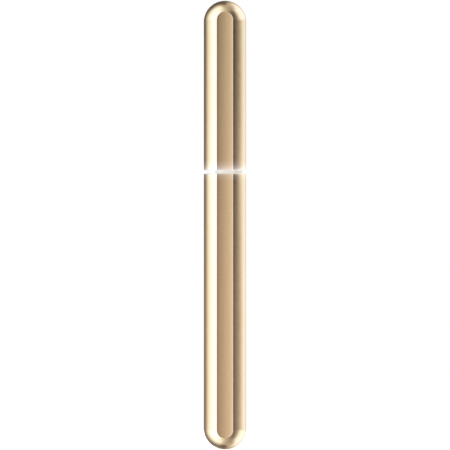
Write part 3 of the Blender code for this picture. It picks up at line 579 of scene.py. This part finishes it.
# The looks that have their own function, named as their slot, and those that plastic, metal and lead make.
OWN_LOOKS = (
    gold_anodised, gold_satin, gold_soft_touch, light_diffuser,
    silicone, circuit_board, piezo_ceramic, cell_wrap,
)
PLASTICS = {
    "white_plastic": ((0.82, 0.82, 0.80), (0.78, 0.78, 0.76)),
    "grey_plastic": ((0.10, 0.105, 0.11), (0.13, 0.135, 0.14), 0.5, 0.25, 0.015),
    "black_resin": ((0.02, 0.02, 0.021), (0.035, 0.035, 0.036), 0.4),
    "capacitor_sleeve": ((0.03, 0.035, 0.07), (0.02, 0.022, 0.05), 0.3),
    "led_package": ((0.90, 0.84, 0.55), (0.80, 0.74, 0.45), 0.3),
    "ferrite": ((0.05, 0.05, 0.055), (0.08, 0.08, 0.085), 0.6, 0.2, 0.02),
    "polyimide_film": ((0.45, 0.19, 0.03), (0.52, 0.25, 0.06), 0.25, 0.6, 0.01),
}
METALS = {
    "stainless_steel": ((0.62, 0.635, 0.66), (0.59, 0.605, 0.63), 0.2, (1, 1, 0.03)),
    "machined_aluminium": ((0.80, 0.80, 0.81), (0.72, 0.72, 0.73), 0.3, (0.05, 0.05, 1.0)),
    "brass": ((0.80, 0.60, 0.28), (0.70, 0.50, 0.22), 0.28),
    "nickel": ((0.68, 0.66, 0.61), (0.60, 0.58, 0.54), 0.26, (0.1, 1, 1)),
}
LEADS = {
    "lead_red": (0.50, 0.03, 0.025),
    "lead_black": (0.02, 0.02, 0.02),
    "lead_blue": (0.04, 0.09, 0.40),
    "lead_white": (0.78, 0.78, 0.76),
}


def all_looks():
    """Every material, by the record's slot names."""
    looks = {make.__name__: make() for make in OWN_LOOKS}
    looks |= {name: plastic(name, *values) for name, values in PLASTICS.items()}
    looks |= {name: metal(name, *values) for name, values in METALS.items()}
    looks |= {name: lead(name, colour) for name, colour in LEADS.items()}
    return looks


# Shells ----------------------------------------
def wand_surface(u, v):
    """How far the wand's skin stands from its middle plane, at u across and v along it."""
    beyond = max(0.0, v - CAP_DOME, RADIUS - v)
    return math.sqrt(max(0.0, RADIUS**2 - u**2 - beyond**2))


def lowered(surface, down):
    """The surface moved inwards by down."""
    return lambda u, v: surface(u, v) - down


def mouth_steps(reach, lip, surface, degrees):
    """Steps up a cutter's mouth, which a lip widens as it comes out through the surface."""
    steps = []
    for turn in map(math.radians, degrees):
        steps.append((reach + lip * (1 - math.cos(turn)), lowered(surface, lip * (1 - math.sin(turn)))))
    return steps


def edge_steps(reach, edge, surface, degrees):
    """Steps over a pad's rounded edge, from its face, the surface, round to its side."""
    steps = []
    for turn in map(math.radians, degrees):
        steps.append((reach - edge + edge * math.sin(turn), lowered(surface, edge * (1 - math.cos(turn)))))
    return steps


def slot_steps(reach, low, high):
    """Steps of a shape with straight sides and flat ends."""
    return [(0, low), (reach, low), (reach, high), (0, high)]


def pocket(name, low, high, seat, lip, place):
    """A cutter for a strip's pocket, whose mouth is rounded over by lip as it meets the wand's skin.

    Its straight sides are divided where the wand's outline bends from its straight run into the domes.
    """
    reach = STRIP_HALF + STRIP_FIT
    low, high = low + STRIP_HALF, high - STRIP_HALF
    bends = (RADIUS - 0.25, RADIUS, CAP_DOME, CAP_DOME + 0.25)
    spots = slot_spots(low, high, 32, stops=[bend for bend in bends if low + 0.1 < bend < high - 0.1])
    steps = [(0, seat), (reach, seat), *mouth_steps(reach, lip, wand_surface, range(0, LIP_TURN + 1, 15))]
    turn = math.radians(LIP_TURN)
    out = lip * (1 - math.cos(turn)) + FLARE * math.sin(turn)
    down = lip * (1 - math.sin(turn)) - FLARE * math.cos(turn)
    steps += [(reach + out, lowered(wand_surface, down)), (reach + out, RADIUS + CLEAR), (0, RADIUS + CLEAR)]
    return pad(name, spots, steps, place)


def key_spots(z, *divisions):
    """Round the outline of the key at height z, which is half-round at both ends."""
    return slot_spots(z - KEY_LENGTH / 2 + KEY_HALF, z + KEY_LENGTH / 2 - KEY_HALF, *divisions)


def key_hole(name, z):
    """A cutter for the window of the key at height z."""
    return pad(name, key_spots(z), slot_steps(KEY_HALF + KEY_FIT, HOLE_LOW, HOLE_HIGH), rear_place)


def shell_body(name, outer, inner, front, rear):
    """A shell from its outer and inner profiles, with pockets over the given front and rear stretches."""
    shell = turned(name, outer + [(*point, FRONT_WALL, REAR_WALL) for point in inner])
    boolean(shell, pocket("front", *front, FRONT_SEAT, FRONT_LIP, front_place))
    boolean(shell, pocket("rear", *rear, REAR_SEAT, REAR_LIP, rear_place))
    return shell


def handle_shell(looks):
    """The handle's shell, closed by the foot's dome, with the keys' windows and the port's hole and seats."""
    outer = arc((RADIUS - RIM, HANDLE_TOP - RIM), RIM, 90, 0, 6) + arc((0, RADIUS), RADIUS, 0, -90, 40)
    inner = [*arc((0, RADIUS), BORE, -90, 0, 20), (BORE, HANDLE_TOP)]
    above = HANDLE_TOP + OVERRUN
    shell = shell_body("handle_shell_skin", outer, inner, (FRONT_LOW, above), (REAR_LOW, above))
    for name, z in KEYS.items():
        boolean(shell, key_hole(name + "_hole", z))
    port_hole = slot_steps(PORT_REACH, -5, 2)
    boolean(shell, pad("port_hole", slot_spots(-PORT_HALF, PORT_HALF), port_hole, foot_place))
    boolean(shell, cover_seat("cover_seat", cover_spots(), COVER_REACH, COVER_SEAT_GAP))
    boolean(shell, cover_seat("anchor_seat", anchor_spots(), ANCHOR_REACH, ANCHOR_SEAT_GAP))
    pin_hole = [(0, 6), (PIN_HOLE, 6), (PIN_HOLE, -1), (0, -1)]
    boolean(shell, turned("anchor_hole", pin_hole, 48, ANCHOR_PIN))
    crisp(piece(shell, looks, "gold_anodised", "handle", "handle_shell"))


def cap_shell(looks):
    """The cap's shell, closed by the dome at the top."""
    outer = arc((0, CAP_DOME), RADIUS, 90, 0, 40) + arc((RADIUS - RIM, CAP_BOTTOM + RIM), RIM, 0, -90, 6)
    inner = [(BORE, CAP_BOTTOM), *arc((0, CAP_DOME), BORE, 0, 90, 20)]
    below = CAP_BOTTOM - OVERRUN
    shell = shell_body("cap_shell_skin", outer, inner, (below, FRONT_HIGH), (below, REAR_HIGH))
    crisp(piece(shell, looks, "gold_anodised", "cap", "cap_shell"))


# Strips ----------------------------------------
def trough(u, v):
    """The front strips' face: a shallow trough along the wand, turned up a little all round its edge."""
    beyond = max(0.0, v - FRONT_HIGH + STRIP_HALF, FRONT_LOW + STRIP_HALF - v)
    rise = max(0.0, math.hypot(u, beyond) - STRIP_HALF + EDGE_WIDTH) / EDGE_WIDTH
    return TROUGH_FLOOR + TROUGH_RADIUS - math.sqrt(TROUGH_RADIUS**2 - u**2) + EDGE_RISE * rise**2


def face_steps(face, half, edge, back, columns=32):
    """Rings for a strip or key: across its face, over its rounded edge, and in across its back."""
    across = [((half - edge) * i / columns, face) for i in range(columns + 1)]
    return [*across, *edge_steps(half, edge, face, (18, 36, 54, 72, 90)), (half, back), (0, back)]


def strip(name, low, high, face, back, place, seam, keep_below):
    """A strip with round ends, cut square at the seam."""
    spots = slot_spots(low + STRIP_HALF, high - STRIP_HALF, 40)
    body = pad(name, spots, face_steps(face, STRIP_HALF, STRIP_EDGE, back), place)
    return trim(body, seam, keep_below)


def rear_face(u, v):
    return REAR_FACE


def strips(looks):
    """The four strips: troughs in the front, flat ones in the back, and the keys' windows in the handle's."""
    front = (trough, FRONT_BACK, front_place)
    rear = (rear_face, REAR_BACK, rear_place)
    above, below = HANDLE_TOP + OVERRUN, CAP_BOTTOM - OVERRUN
    handle_front = strip("handle_front_strip", FRONT_LOW, above, *front, HANDLE_TOP, True)
    cap_front = strip("cap_front_strip", below, FRONT_HIGH, *front, CAP_BOTTOM, False)
    handle_rear = strip("handle_rear_strip", REAR_LOW, above, *rear, HANDLE_TOP, True)
    cap_rear = strip("cap_rear_strip", below, REAR_HIGH, *rear, CAP_BOTTOM, False)
    for name, z in KEYS.items():
        boolean(handle_rear, key_hole(name + "_window", z))
    piece(handle_front, looks, "gold_satin", "handle", "handle_front_inlay")
    piece(cap_front, looks, "gold_satin", "cap", "cap_front_inlay")
    piece(handle_rear, looks, "gold_satin", "handle", "handle_rear_panel")
    piece(cap_rear, looks, "gold_satin", "cap", "cap_rear_inlay")


# Keys ----------------------------------------
def dished(z):
    """The face of the key at height z, hollowed a little along the wand."""
    return lambda u, v: KEY_FACE - KEY_DISH_DEPTH + KEY_DISH - math.sqrt(KEY_DISH**2 - (v - z) ** 2)


def keys(looks):
    """The two keys: dished faces with rounded edges, over flanges that keep them in."""
    for name, z in KEYS.items():
        steps = face_steps(dished(z), KEY_HALF, KEY_EDGE, KEY_FLANGE_TOP, 8)[:-1]
        flange = KEY_HALF + KEY_FLANGE
        steps += [(flange, KEY_FLANGE_TOP), (flange, KEY_BACK), (0, KEY_BACK)]
        key = pad(name + "_cap", key_spots(z, 24, 8), steps, rear_place)
        boolean(key, mark_cutter(name, z))
        piece(key, looks, "gold_satin", name.replace("key", "button"), name)


def mark_cutter(name, z):
    """A shallow engraved mark: an open ring with a bar for power, a plain ring for mode."""
    floor, half = KEY_FACE - KEY_DISH_DEPTH - MARK_DEPTH, MARK_LINE / 2
    outside, inside = MARK_RADIUS + half, MARK_RADIUS - half
    profile = [(outside, floor), (outside, MARK_TOP), (inside, MARK_TOP), (inside, floor)]
    rings = []
    gap = POWER_GAP if name == "power_key" else 0
    for turn in turns(90 + gap, 450 - gap, 48):
        rings.append([(r * math.cos(turn), h, z + r * math.sin(turn)) for r, h in profile])
    if gap == 0:
        return solid(name + "_mark", rings[:-1], "joined")
    ring = solid(name + "_mark", rings)
    low, high = z + BAR_START, z + MARK_RADIUS + BAR_BEYOND
    corners = ((-half, low), (half, low), (half, high), (-half, high))
    bar = solid("bar", [[(x, h, along) for x, along in corners] for h in (floor, MARK_TOP)])
    return boolean(ring, bar, "UNION")


# Port cover ----------------------------------------
def dome_skin(radius):
    """How far a ball about the foot's centre reaches down, from the wand's lowest point."""
    return lambda u, v: math.sqrt(radius**2 - u**2 - v**2) - RADIUS


def cover_seat(name, spots, reach, gap):
    """A cutter for a shallow seat in the foot, which follows the dome, with a softened mouth."""
    skin, floor = dome_skin(RADIUS), dome_skin(RADIUS - COVER_THICKNESS - gap)
    reach += COVER_FIT
    steps = [(reach * i / 8, floor) for i in range(9)]
    steps += mouth_steps(reach, SEAT_LIP, skin, (0, 20, 40, 60))
    steps += [(reach + FLARE, lowered(skin, -SEAT_LIP)), (reach + FLARE, CLEAR), (0, CLEAR)]
    return pad(name, spots, steps, foot_place)


def cover_spots():
    return slot_spots(-COVER_HALF, COVER_HALF, 24, 8)


def anchor_spots():
    return slot_spots(ANCHOR_MIDDLE, -COVER_HALF, 24, 8)


def dome_plate(name, spots, reach, grow=0.0):
    """A plate that follows the foot's dome, with a rounded outer edge."""
    outside = dome_skin(RADIUS - COVER_SUNK + grow)
    inside = dome_skin(RADIUS - COVER_THICKNESS - grow)
    steps = [((reach - COVER_EDGE) * i / 10, outside) for i in range(11)]
    steps += edge_steps(reach, COVER_EDGE, outside, (22, 45, 67, 90))
    steps += [(reach * i / 8, inside) for i in range(8, -1, -1)]
    return pad(name, spots, steps, foot_place)


def port_cover(looks):
    """The flap over the port, with its sealing boss, and the fixed anchor that its hinge flexes from."""
    cover = dome_plate("port_cover_flap", cover_spots(), COVER_REACH)
    root = dome_skin(RADIUS - COVER_THICKNESS / 2)
    reach, top, soft, wall, hollow = 1.55, 1.9, 0.2, 0.5, 0.25
    steps = [(0, root), (reach, root)]
    steps += [(r, -z) for r, z in arc((reach - soft, top - soft), soft, 0, 90, 5)]
    steps += [(reach - wall, -top), (reach - wall - 0.05, hollow - top), (0, hollow - top)]
    boolean(cover, pad("boss", slot_spots(-PORT_HALF, PORT_HALF), steps, foot_place), "UNION")
    boolean(cover, rod("hinge_relief", RELIEF_RADIUS, RELIEF_X, RELIEF_Z, -4, 4, 48))
    piece(cover, looks, "gold_soft_touch", "port_flap", "port_cover")

    anchor = dome_plate("port_cover_anchor_tab", anchor_spots(), ANCHOR_REACH)
    boolean(anchor, dome_plate("hinge_gap", cover_spots(), COVER_REACH + HINGE_GAP, 1.0))
    pin = [(0, root), (0.5, root), (0.5, -4.35), (0.35, -4.5), (0, -4.5)]
    boolean(anchor, pad("pin", slot_spots(ANCHOR_PIN[0], ANCHOR_PIN[0]), pin, foot_place), "UNION")
    piece(anchor, looks, "gold_soft_touch", "handle", "port_cover_anchor")


def charging_port(looks):
    """The socket behind the flap: a drawn shell with a rolled mouth, and a tongue with its contacts."""
    low, high = span("usb_c_shell", "z")
    wall, outer = 0.3, span("usb_c_shell", "y")[1]
    half = span("usb_c_shell", "x")[1] - outer
    mouth = arc((outer - wall / 2, -low - wall / 2), wall / 2, 0, 180, 8)
    steps = [(outer, -high), *mouth, (outer - wall, -high)]
    shell = pad("usb_c_socket_shell", slot_spots(-half, half), steps, foot_place, "joined")
    piece(shell, looks, "stainless_steel", "handle", "usb_c_shell")

    tip, end = span("usb_c_tongue", "z")
    thin, base = 0.35, span("usb_c_tongue", "y")[1]
    middle = span("usb_c_tongue", "x")[1] - base
    steps = [(0, -tip), (thin - 0.12, -tip), (thin, -tip - 0.15), (thin, 1.25 - end)]
    steps += [(base - 0.1, 1.25 - end), (base, 1.15 - end), (base, -end), (0, -end)]
    tongue = pad("usb_c_socket_tongue", slot_spots(-middle, middle), steps, foot_place)
    piece(tongue, looks, "black_resin", "handle", "usb_c_tongue")

    profile = [(0, thin - 0.05), (0.13, thin - 0.05), (0.13, thin + 0.01)]
    profile += [(0.11, thin + 0.03), (0, thin + 0.03)]
    contacts = []
    for side in (-1, 1):
        for number in range(CONTACTS):
            def place(u, v, h, x=(number - (CONTACTS - 1) / 2) * CONTACT_PITCH, side=side):
                return (x + u, side * h, v)
            spots = slot_spots(tip + 0.4, tip + 3.4, 6)
            contacts.append(pad(f"contact_{side}_{number}", spots, profile, place))
    piece(merged("usb_c_contacts", contacts), looks, "brass", "handle")


# Neck and cap fittings ----------------------------------------
def flatted(node, profile):
    """Gives an outer profile's points the flats of its CAD node, which draw in with the radius."""
    radius = span(node, "x")[1]
    low, high = span(node, "y")
    return [(r, z, -low - (radius - r), high - (radius - r)) for r, z in profile]


def bore(low, high):
    """The inner side of a ring round the blade's tube, bottom to top, with softened edges."""
    middle = TUBE_CLEAR + TUBE_EDGE
    lower = arc((middle, low + TUBE_EDGE), TUBE_EDGE, 270, 180, 4)
    return lower + arc((middle, high - TUBE_EDGE), TUBE_EDGE, 180, 90, 4)


def light_ring(looks):
    """The diffuser in the seam: rounded edges, and fine steps round its outer face that spread the light."""
    (low, high), radius, soft = span("light_ring", "z"), span("light_ring", "x")[1], 0.3
    outer = arc((radius - soft, high - soft), soft, 90, 0, 6)
    levels, depth = 12, 0.03
    for i in range(1, levels):
        outer.append((radius - depth * (i % 2), high - soft + (low - high + 2 * soft) * i / levels))
    outer += arc((radius - soft, low + soft), soft, 0, -90, 6)
    ring = turned("light_ring_lens", flatted("light_ring", outer) + bore(low, high))
    piece(ring, looks, "light_diffuser", "handle", "light_ring")


def spigot_and_band(looks):
    """The keyed spigot that the cap slides on, and the double-lipped band in its groove."""
    (low, high), radius = span("cap_spigot", "z"), span("cap_spigot", "x")[1]
    band_low, band_high = span("cap_seal_band", "z")
    floor, gap, edge = radius - 0.45, 0.05, 0.1
    outer = [(radius - 0.4, high), (radius - 0.1, high - 0.3), (radius, high - 0.6)]
    outer += arc((radius - edge, band_high + gap + edge), edge, 0, -90, 3) + [(floor, band_high + gap)]
    outer += [(floor, band_low - gap)] + arc((radius - edge, band_low - gap - edge), edge, 90, 0, 3)
    outer += arc((radius - edge, low + edge), edge, 0, -90, 3)
    spigot = turned("cap_spigot_body", flatted("cap_spigot", outer) + bore(low, high))
    piece(spigot, looks, "white_plastic", "handle", "cap_spigot")

    radius = span("cap_seal_band", "x")[1]
    lips, lip_height, thickness, steps = 2, 0.2, 0.51, 32
    outer = []
    for i in range(steps + 1):
        bulge = abs(math.sin(math.pi * lips * i / steps)) ** 0.7
        outer.append((radius - lip_height * (1 - bulge), band_high + (band_low - band_high) * i / steps))
    inner = [(radius - thickness, band_low), (radius - thickness, band_high)]
    band = turned("cap_seal_band_lips", flatted("cap_seal_band", outer + inner))
    piece(band, looks, "silicone", "handle", "cap_seal_band")


def cap_liner(looks):
    """The sleeve in the cap that grips the spigot, with a flared way in."""
    (low, high), radius, wall = span("cap_liner", "z"), span("cap_liner", "x")[1], 0.5
    outer = [(radius - 0.15, high), (radius, high - 0.15)] + arc((radius - 0.1, low + 0.1), 0.1, 0, -90, 4)
    grip = radius - wall - 0.05
    inner = [(radius - wall + 0.22, low), (radius - wall + 0.12, low + 0.12)]
    inner += [(radius - wall - 0.02, low + 0.5), (grip, low + 0.8), (grip, high)]
    liner = turned("cap_liner_sleeve", flatted("cap_liner", outer + inner))
    piece(liner, looks, "white_plastic", "cap", "cap_liner")


# Blade and boot ----------------------------------------
def blade_half(v):
    """Half the flat blank's width, at v along it."""
    if v > BLANK_LENGTH - TIP_CORNER:
        rise = min(v - BLANK_LENGTH + TIP_CORNER, TIP_CORNER)
        return BLADE_HALF - TIP_CORNER + math.sqrt(TIP_CORNER**2 - rise**2)
    t = min(max((v - TANG_TOP) / (SHOULDER_TOP - TANG_TOP), 0.0), 1.0)
    return TANG_HALF + (BLADE_HALF - TANG_HALF) * t * t * (3 - 2 * t)


def bent(x, y, v):
    """Where a point of the flat blank lies once the blade is curved forwards."""
    along = max(0.0, v - BEND_START)
    turn = min(along / BEND_RADIUS, BEND_TURN)
    beyond = max(0.0, along - BEND_RADIUS * BEND_TURN)
    radius = BEND_RADIUS + y
    z = min(v, BEND_START) + radius * math.sin(turn) + beyond * math.cos(turn)
    return (x, radius * math.cos(turn) - BEND_RADIUS - beyond * math.sin(turn), z)


def blade_ring(v, half, thickness, corner):
    """One section of the blade: a rectangle with rounded corners."""
    edge = min(corner, 0.46 * thickness)
    ring = []
    for turn, side, face in ((0, 1, 1), (90, -1, 1), (180, -1, -1), (270, 1, -1)):
        centre = (side * (half - edge), face * (thickness / 2 - edge))
        ring += [bent(x, y, v) for x, y in arc(centre, edge, turn, turn + 90, 5)]
    return ring


def blade(looks):
    """The spatula blade: a narrow tang, curved shoulders, a forward bend and a thinned, rounded edge."""
    bend_length = BEND_RADIUS * BEND_TURN
    stations = [TANG_LOW, TANG_TOP]
    stations += [TANG_TOP + (SHOULDER_TOP - TANG_TOP) * i / 36 for i in range(1, 37)]
    stations += [BEND_START + bend_length * i / 48 for i in range(49)]
    stations += [BLANK_LENGTH - EDGE_LENGTH]
    stations += [BLANK_LENGTH - TIP_CORNER * (1 - math.sin(turn)) for turn in turns(0, 90, 24)]
    rings = []
    for v in stations:
        thinning = max(0.0, v - BLANK_LENGTH + EDGE_LENGTH) / EDGE_LENGTH
        thickness = BLADE_THICKNESS * (1 - (1 - EDGE_SHARE) * thinning)
        rings.append(blade_ring(v, blade_half(v), thickness, 0.2))
    body = solid("spatula_blade_body", rings)
    for z in RIVET_HEIGHTS:
        boolean(body, rod(f"rivet_hole_{z:.0f}", RIVET_HOLE, 0, z, -3, 3))
    piece(body, looks, "stainless_steel", "handle", "spatula_blade")


def boot(looks):
    """The silicone boot that seals the blade into the neck: a plug below and a tapering lip above.

    Its outline's points are (half the width, half the depth, height) of ovals round the blade.
    """
    plug = [(3.45, 3.45, 113.0), (3.55, 3.55, 113.15), (3.55, 3.55, 119.0), (5.25, 4.85, 119.1)]
    lip = [(5.4, 5.0, 119.18), (5.6, 5.1, 119.8), (5.45, 4.3, 121.0), (5.25, 3.0, 122.4)]
    lip += [(5.1, 2.0, 123.6), (5.0, 1.5, 124.35), (4.85, 1.2, 124.58)]
    rings = []
    for half_x, half_y, z in plug + smooth_route(lip):
        rings.append([(half_x * x, half_y * y, z) for x, y in circle((0, 0), 1)])
    body = solid("blade_boot_body", rings)
    side, face = 0.12, 0.08
    stations = [112.0] + [TANG_TOP + i / 4 for i in range(20)]
    slot = [blade_ring(v, blade_half(v) + side, BLADE_THICKNESS + 2 * face, 0.25) for v in stations]
    boolean(body, solid("boot_slot", slot))
    piece(body, looks, "silicone", "handle", "blade_boot")


# Studio ----------------------------------------
# The room's light, as (degrees round from the camera to the right, brightness, tint), on a level, a raised
# and a steep ring, the same above and below. The stops were set to give the photo's bands on gold.
WARM, MILD, EVEN, COOL = (1.0, 0.86, 0.70), (1.0, 0.96, 0.90), (0.94, 0.94, 1.0), (0.80, 0.88, 1.05)
PEAK = 2.0
LEVEL_LIGHT = [
    (-180, 0.14, WARM), (-165, 0.11, WARM), (-140, 0.11, WARM), (-132, 0.21, WARM), (-120, 0.43, WARM),
    (-108, 0.83, MILD), (-100, 1.0, MILD), (-86, 1.25, MILD), (-66, 1.62, COOL), (-48, 1.47, COOL),
    (-36, 1.1, MILD), (-27, 0.90, WARM), (-16, 0.75, WARM), (0, 0.50, WARM), (16, 0.28, WARM),
    (40, 0.06, WARM), (52, 0.05, WARM), (64, 0.19, WARM), (80, 0.29, WARM), (95, 0.53, WARM),
    (108, 0.90, MILD), (120, 1.04, MILD), (140, 1.1, MILD), (152, 0.9, MILD), (165, 0.55, WARM),
    (180, 0.14, WARM),
]
RAISED_LIGHT = [
    (-180, 0.14, WARM), (-165, 0.11, WARM), (-145, 0.12, WARM), (-130, 0.28, WARM), (-116, 0.8, MILD),
    (-98, 1.35, MILD), (-80, 1.7, COOL), (-45, 1.6, COOL), (-18, 0.95, MILD), (0, 0.62, WARM),
    (20, 0.36, WARM), (42, 0.13, WARM), (60, 0.13, WARM), (72, 0.34, WARM), (82, 0.75, MILD),
    (92, 1.2, MILD), (104, 1.4, EVEN), (140, 1.4, EVEN), (152, 1.1, MILD), (166, 0.7, WARM),
    (176, 0.25, WARM), (180, 0.14, WARM),
]
STEEP_LIGHT = [
    (-180, 0.10, WARM), (-160, 0.16, WARM), (-140, 0.45, WARM), (-116, 0.95, MILD), (-95, 1.45, MILD),
    (-65, 1.5, MILD), (-35, 1.1, MILD), (0, 0.74, WARM), (35, 0.5, WARM), (65, 0.44, WARM), (90, 0.5, WARM),
    (116, 0.58, WARM), (150, 0.66, WARM), (168, 0.36, WARM), (180, 0.10, WARM),
]
ZENITH_LIGHT = (0.57, WARM)

# The rise, in degrees up or down, at which each ring starts to show and the one at which it has taken over.
RAISED_FROM, RAISED_FULL = 4.0, 10.0
STEEP_FROM, STEEP_FULL = 42.0, 66.0
ZENITH_FROM, ZENITH_FULL = 66.0, 90.0


def colour_of(brightness, tint):
    """A light's colour as a share of PEAK, since a ramp holds no more than 1."""
    return tuple(brightness * value / PEAK for value in tint)


def studio():
    """A softly lit room round the wand. The camera itself sees plain white."""
    world = bpy.data.worlds.new("studio")
    bpy.context.scene.world = world
    world.use_nodes = True
    tree = world.node_tree
    tree.nodes.clear()

    def node(kind, links=None, **settings):
        return add_node(tree, kind, links, **settings)

    def math_node(operation, *values):
        return node("ShaderNodeMath", dict(enumerate(values)), operation=operation).outputs["Value"]

    direction = node("ShaderNodeTexCoord").outputs["Generated"]
    way = node("ShaderNodeSeparateXYZ", {"Vector": direction}).outputs
    azimuth = math_node("ARCTAN2", way["X"], math_node("MULTIPLY", way["Y"], -1.0))
    share = math_node("MULTIPLY_ADD", azimuth, 1 / math.tau, 0.5)
    rise = math_node("ABSOLUTE", math_node("ARCSINE", way["Z"]))

    def ring_light(stops):
        """The light of one ring."""
        ramp = node("ShaderNodeValToRGB", {"Fac": share})
        colours = [((turn + 180) / 360, colour_of(value, tint)) for turn, value, tint in stops]
        fill_ramp(ramp.color_ramp, colours)
        return ramp.outputs["Color"]

    def blend(low, high, first, second):
        """First where the light comes in level, second where it comes in steeply."""
        fac = node("ShaderNodeMapRange", {
            "Value": rise, "From Min": math.radians(low), "From Max": math.radians(high),
        }, interpolation_type="SMOOTHSTEP").outputs["Result"]
        mix = node("ShaderNodeMixRGB", {"Fac": fac, "Color1": first, "Color2": second})
        return mix.outputs["Color"]

    steep = blend(ZENITH_FROM, ZENITH_FULL, ring_light(STEEP_LIGHT), (*colour_of(*ZENITH_LIGHT), 1))
    raised = blend(STEEP_FROM, STEEP_FULL, ring_light(RAISED_LIGHT), steep)
    light = blend(RAISED_FROM, RAISED_FULL, ring_light(LEVEL_LIGHT), raised)
    room = node("ShaderNodeBackground", {"Color": light, "Strength": PEAK}).outputs["Background"]
    plain = node("ShaderNodeBackground", {"Color": (1, 1, 1, 1), "Strength": 1.0}).outputs["Background"]
    seen = node("ShaderNodeLightPath").outputs["Is Camera Ray"]
    shader = node("ShaderNodeMixShader", {0: seen, 1: room, 2: plain}).outputs["Shader"]
    node("ShaderNodeOutputWorld", {"Surface": shader})


HAZE_RADIUS, HAZE_HEIGHTS = 220.0, (-300.0, 480.0)
HAZE_FULL, HAZE_NONE, HAZE_GLOW, HAZE_TINT = 60.0, 185.0, 0.13, (1.0, 0.72, 0.72)


def haze():
    """A clear wall of faint warm light round the wand, full below HAZE_FULL and gone above HAZE_NONE."""
    ring = circle((0, 0), HAZE_RADIUS)
    wall = solid("haze", [[(x, y, z) for x, y in ring] for z in HAZE_HEIGHTS], "open")
    look = Look("haze", (1, 1, 1), 1.0)
    strength = look.ranged(look.rising(HAZE_FULL, HAZE_NONE), HAZE_GLOW, 0.0, 0.0, 1.0)
    light = {"Color": (*HAZE_TINT, 1), "Strength": strength}
    glow = look.node("ShaderNodeEmission", light).outputs["Emission"]
    clear = look.node("ShaderNodeBsdfTransparent").outputs["BSDF"]
    added = look.node("ShaderNodeAddShader", {0: glow, 1: clear}).outputs["Shader"]
    look.tree.links.new(added, look.tree.nodes["Material Output"].inputs["Surface"])
    wall.data.materials.append(look.material)
    wall.visible_camera = False
    wall.visible_shadow = False


FLOOR_TOP, FLOOR_BOTTOM, FLOOR_RADIUS, FLOOR_GLOW = -0.02, -3.0, 150.0, 0.72


def floor():
    """A pale round table top under the wand, which glows enough to read as white."""
    profile = slot_steps(FLOOR_RADIUS, FLOOR_TOP, FLOOR_BOTTOM)
    rings = [[(x, y, z) for x, y in circle((0, 0), radius)] for radius, z in profile]
    table = solid("floor", rings, "shrunk")
    look = Look("floor", (0.9, 0.9, 0.89), 0.6)
    look.set("Emission Color", (1, 1, 1, 1))
    look.set("Emission Strength", FLOOR_GLOW)
    look.vary_roughness(look.noise(6.0, 3.0), 0.05)
    table.data.materials.append(look.material)
    table.visible_glossy = False


DISTANCE, SENSOR, FRAME_SHARE = 1600.0, 36.0, 0.9965


def camera():
    """A long lens, level with the wand's middle. The wand takes up FRAME_SHARE of the frame's height."""
    data = bpy.data.cameras.new("camera")
    data.sensor_width = SENSOR
    data.lens = SENSOR * DISTANCE / (LENGTH / FRAME_SHARE)
    obj = bpy.data.objects.new("camera", data)
    bpy.context.scene.collection.objects.link(obj)
    obj.location = (0, -DISTANCE * MM, LENGTH / 2 * MM)
    obj.rotation_euler = (math.pi / 2, 0, 0)
    bpy.context.scene.camera = obj


def dress_frame(looks):
    """Gives each CAD node the material of its slot in the record."""
    for entry in frame["record"]["subparts"]:
        materials = frame["nodes"][entry["node"]].data.materials
        for number in range(len(materials)):
            materials[number] = looks[entry["material_slot"]]


def build():
    """The studio, the looks of every CAD node, and the finer pieces, in the order they were written."""
    bpy.context.scene.view_settings.view_transform = "Standard"
    camera()
    studio()
    haze()
    floor()
    looks = all_looks()
    dress_frame(looks)
    handle_shell(looks)
    cap_shell(looks)
    strips(looks)
    keys(looks)
    port_cover(looks)
    charging_port(looks)
    light_ring(looks)
    spigot_and_band(looks)
    cap_liner(looks)
    blade(looks)
    boot(looks)


build()
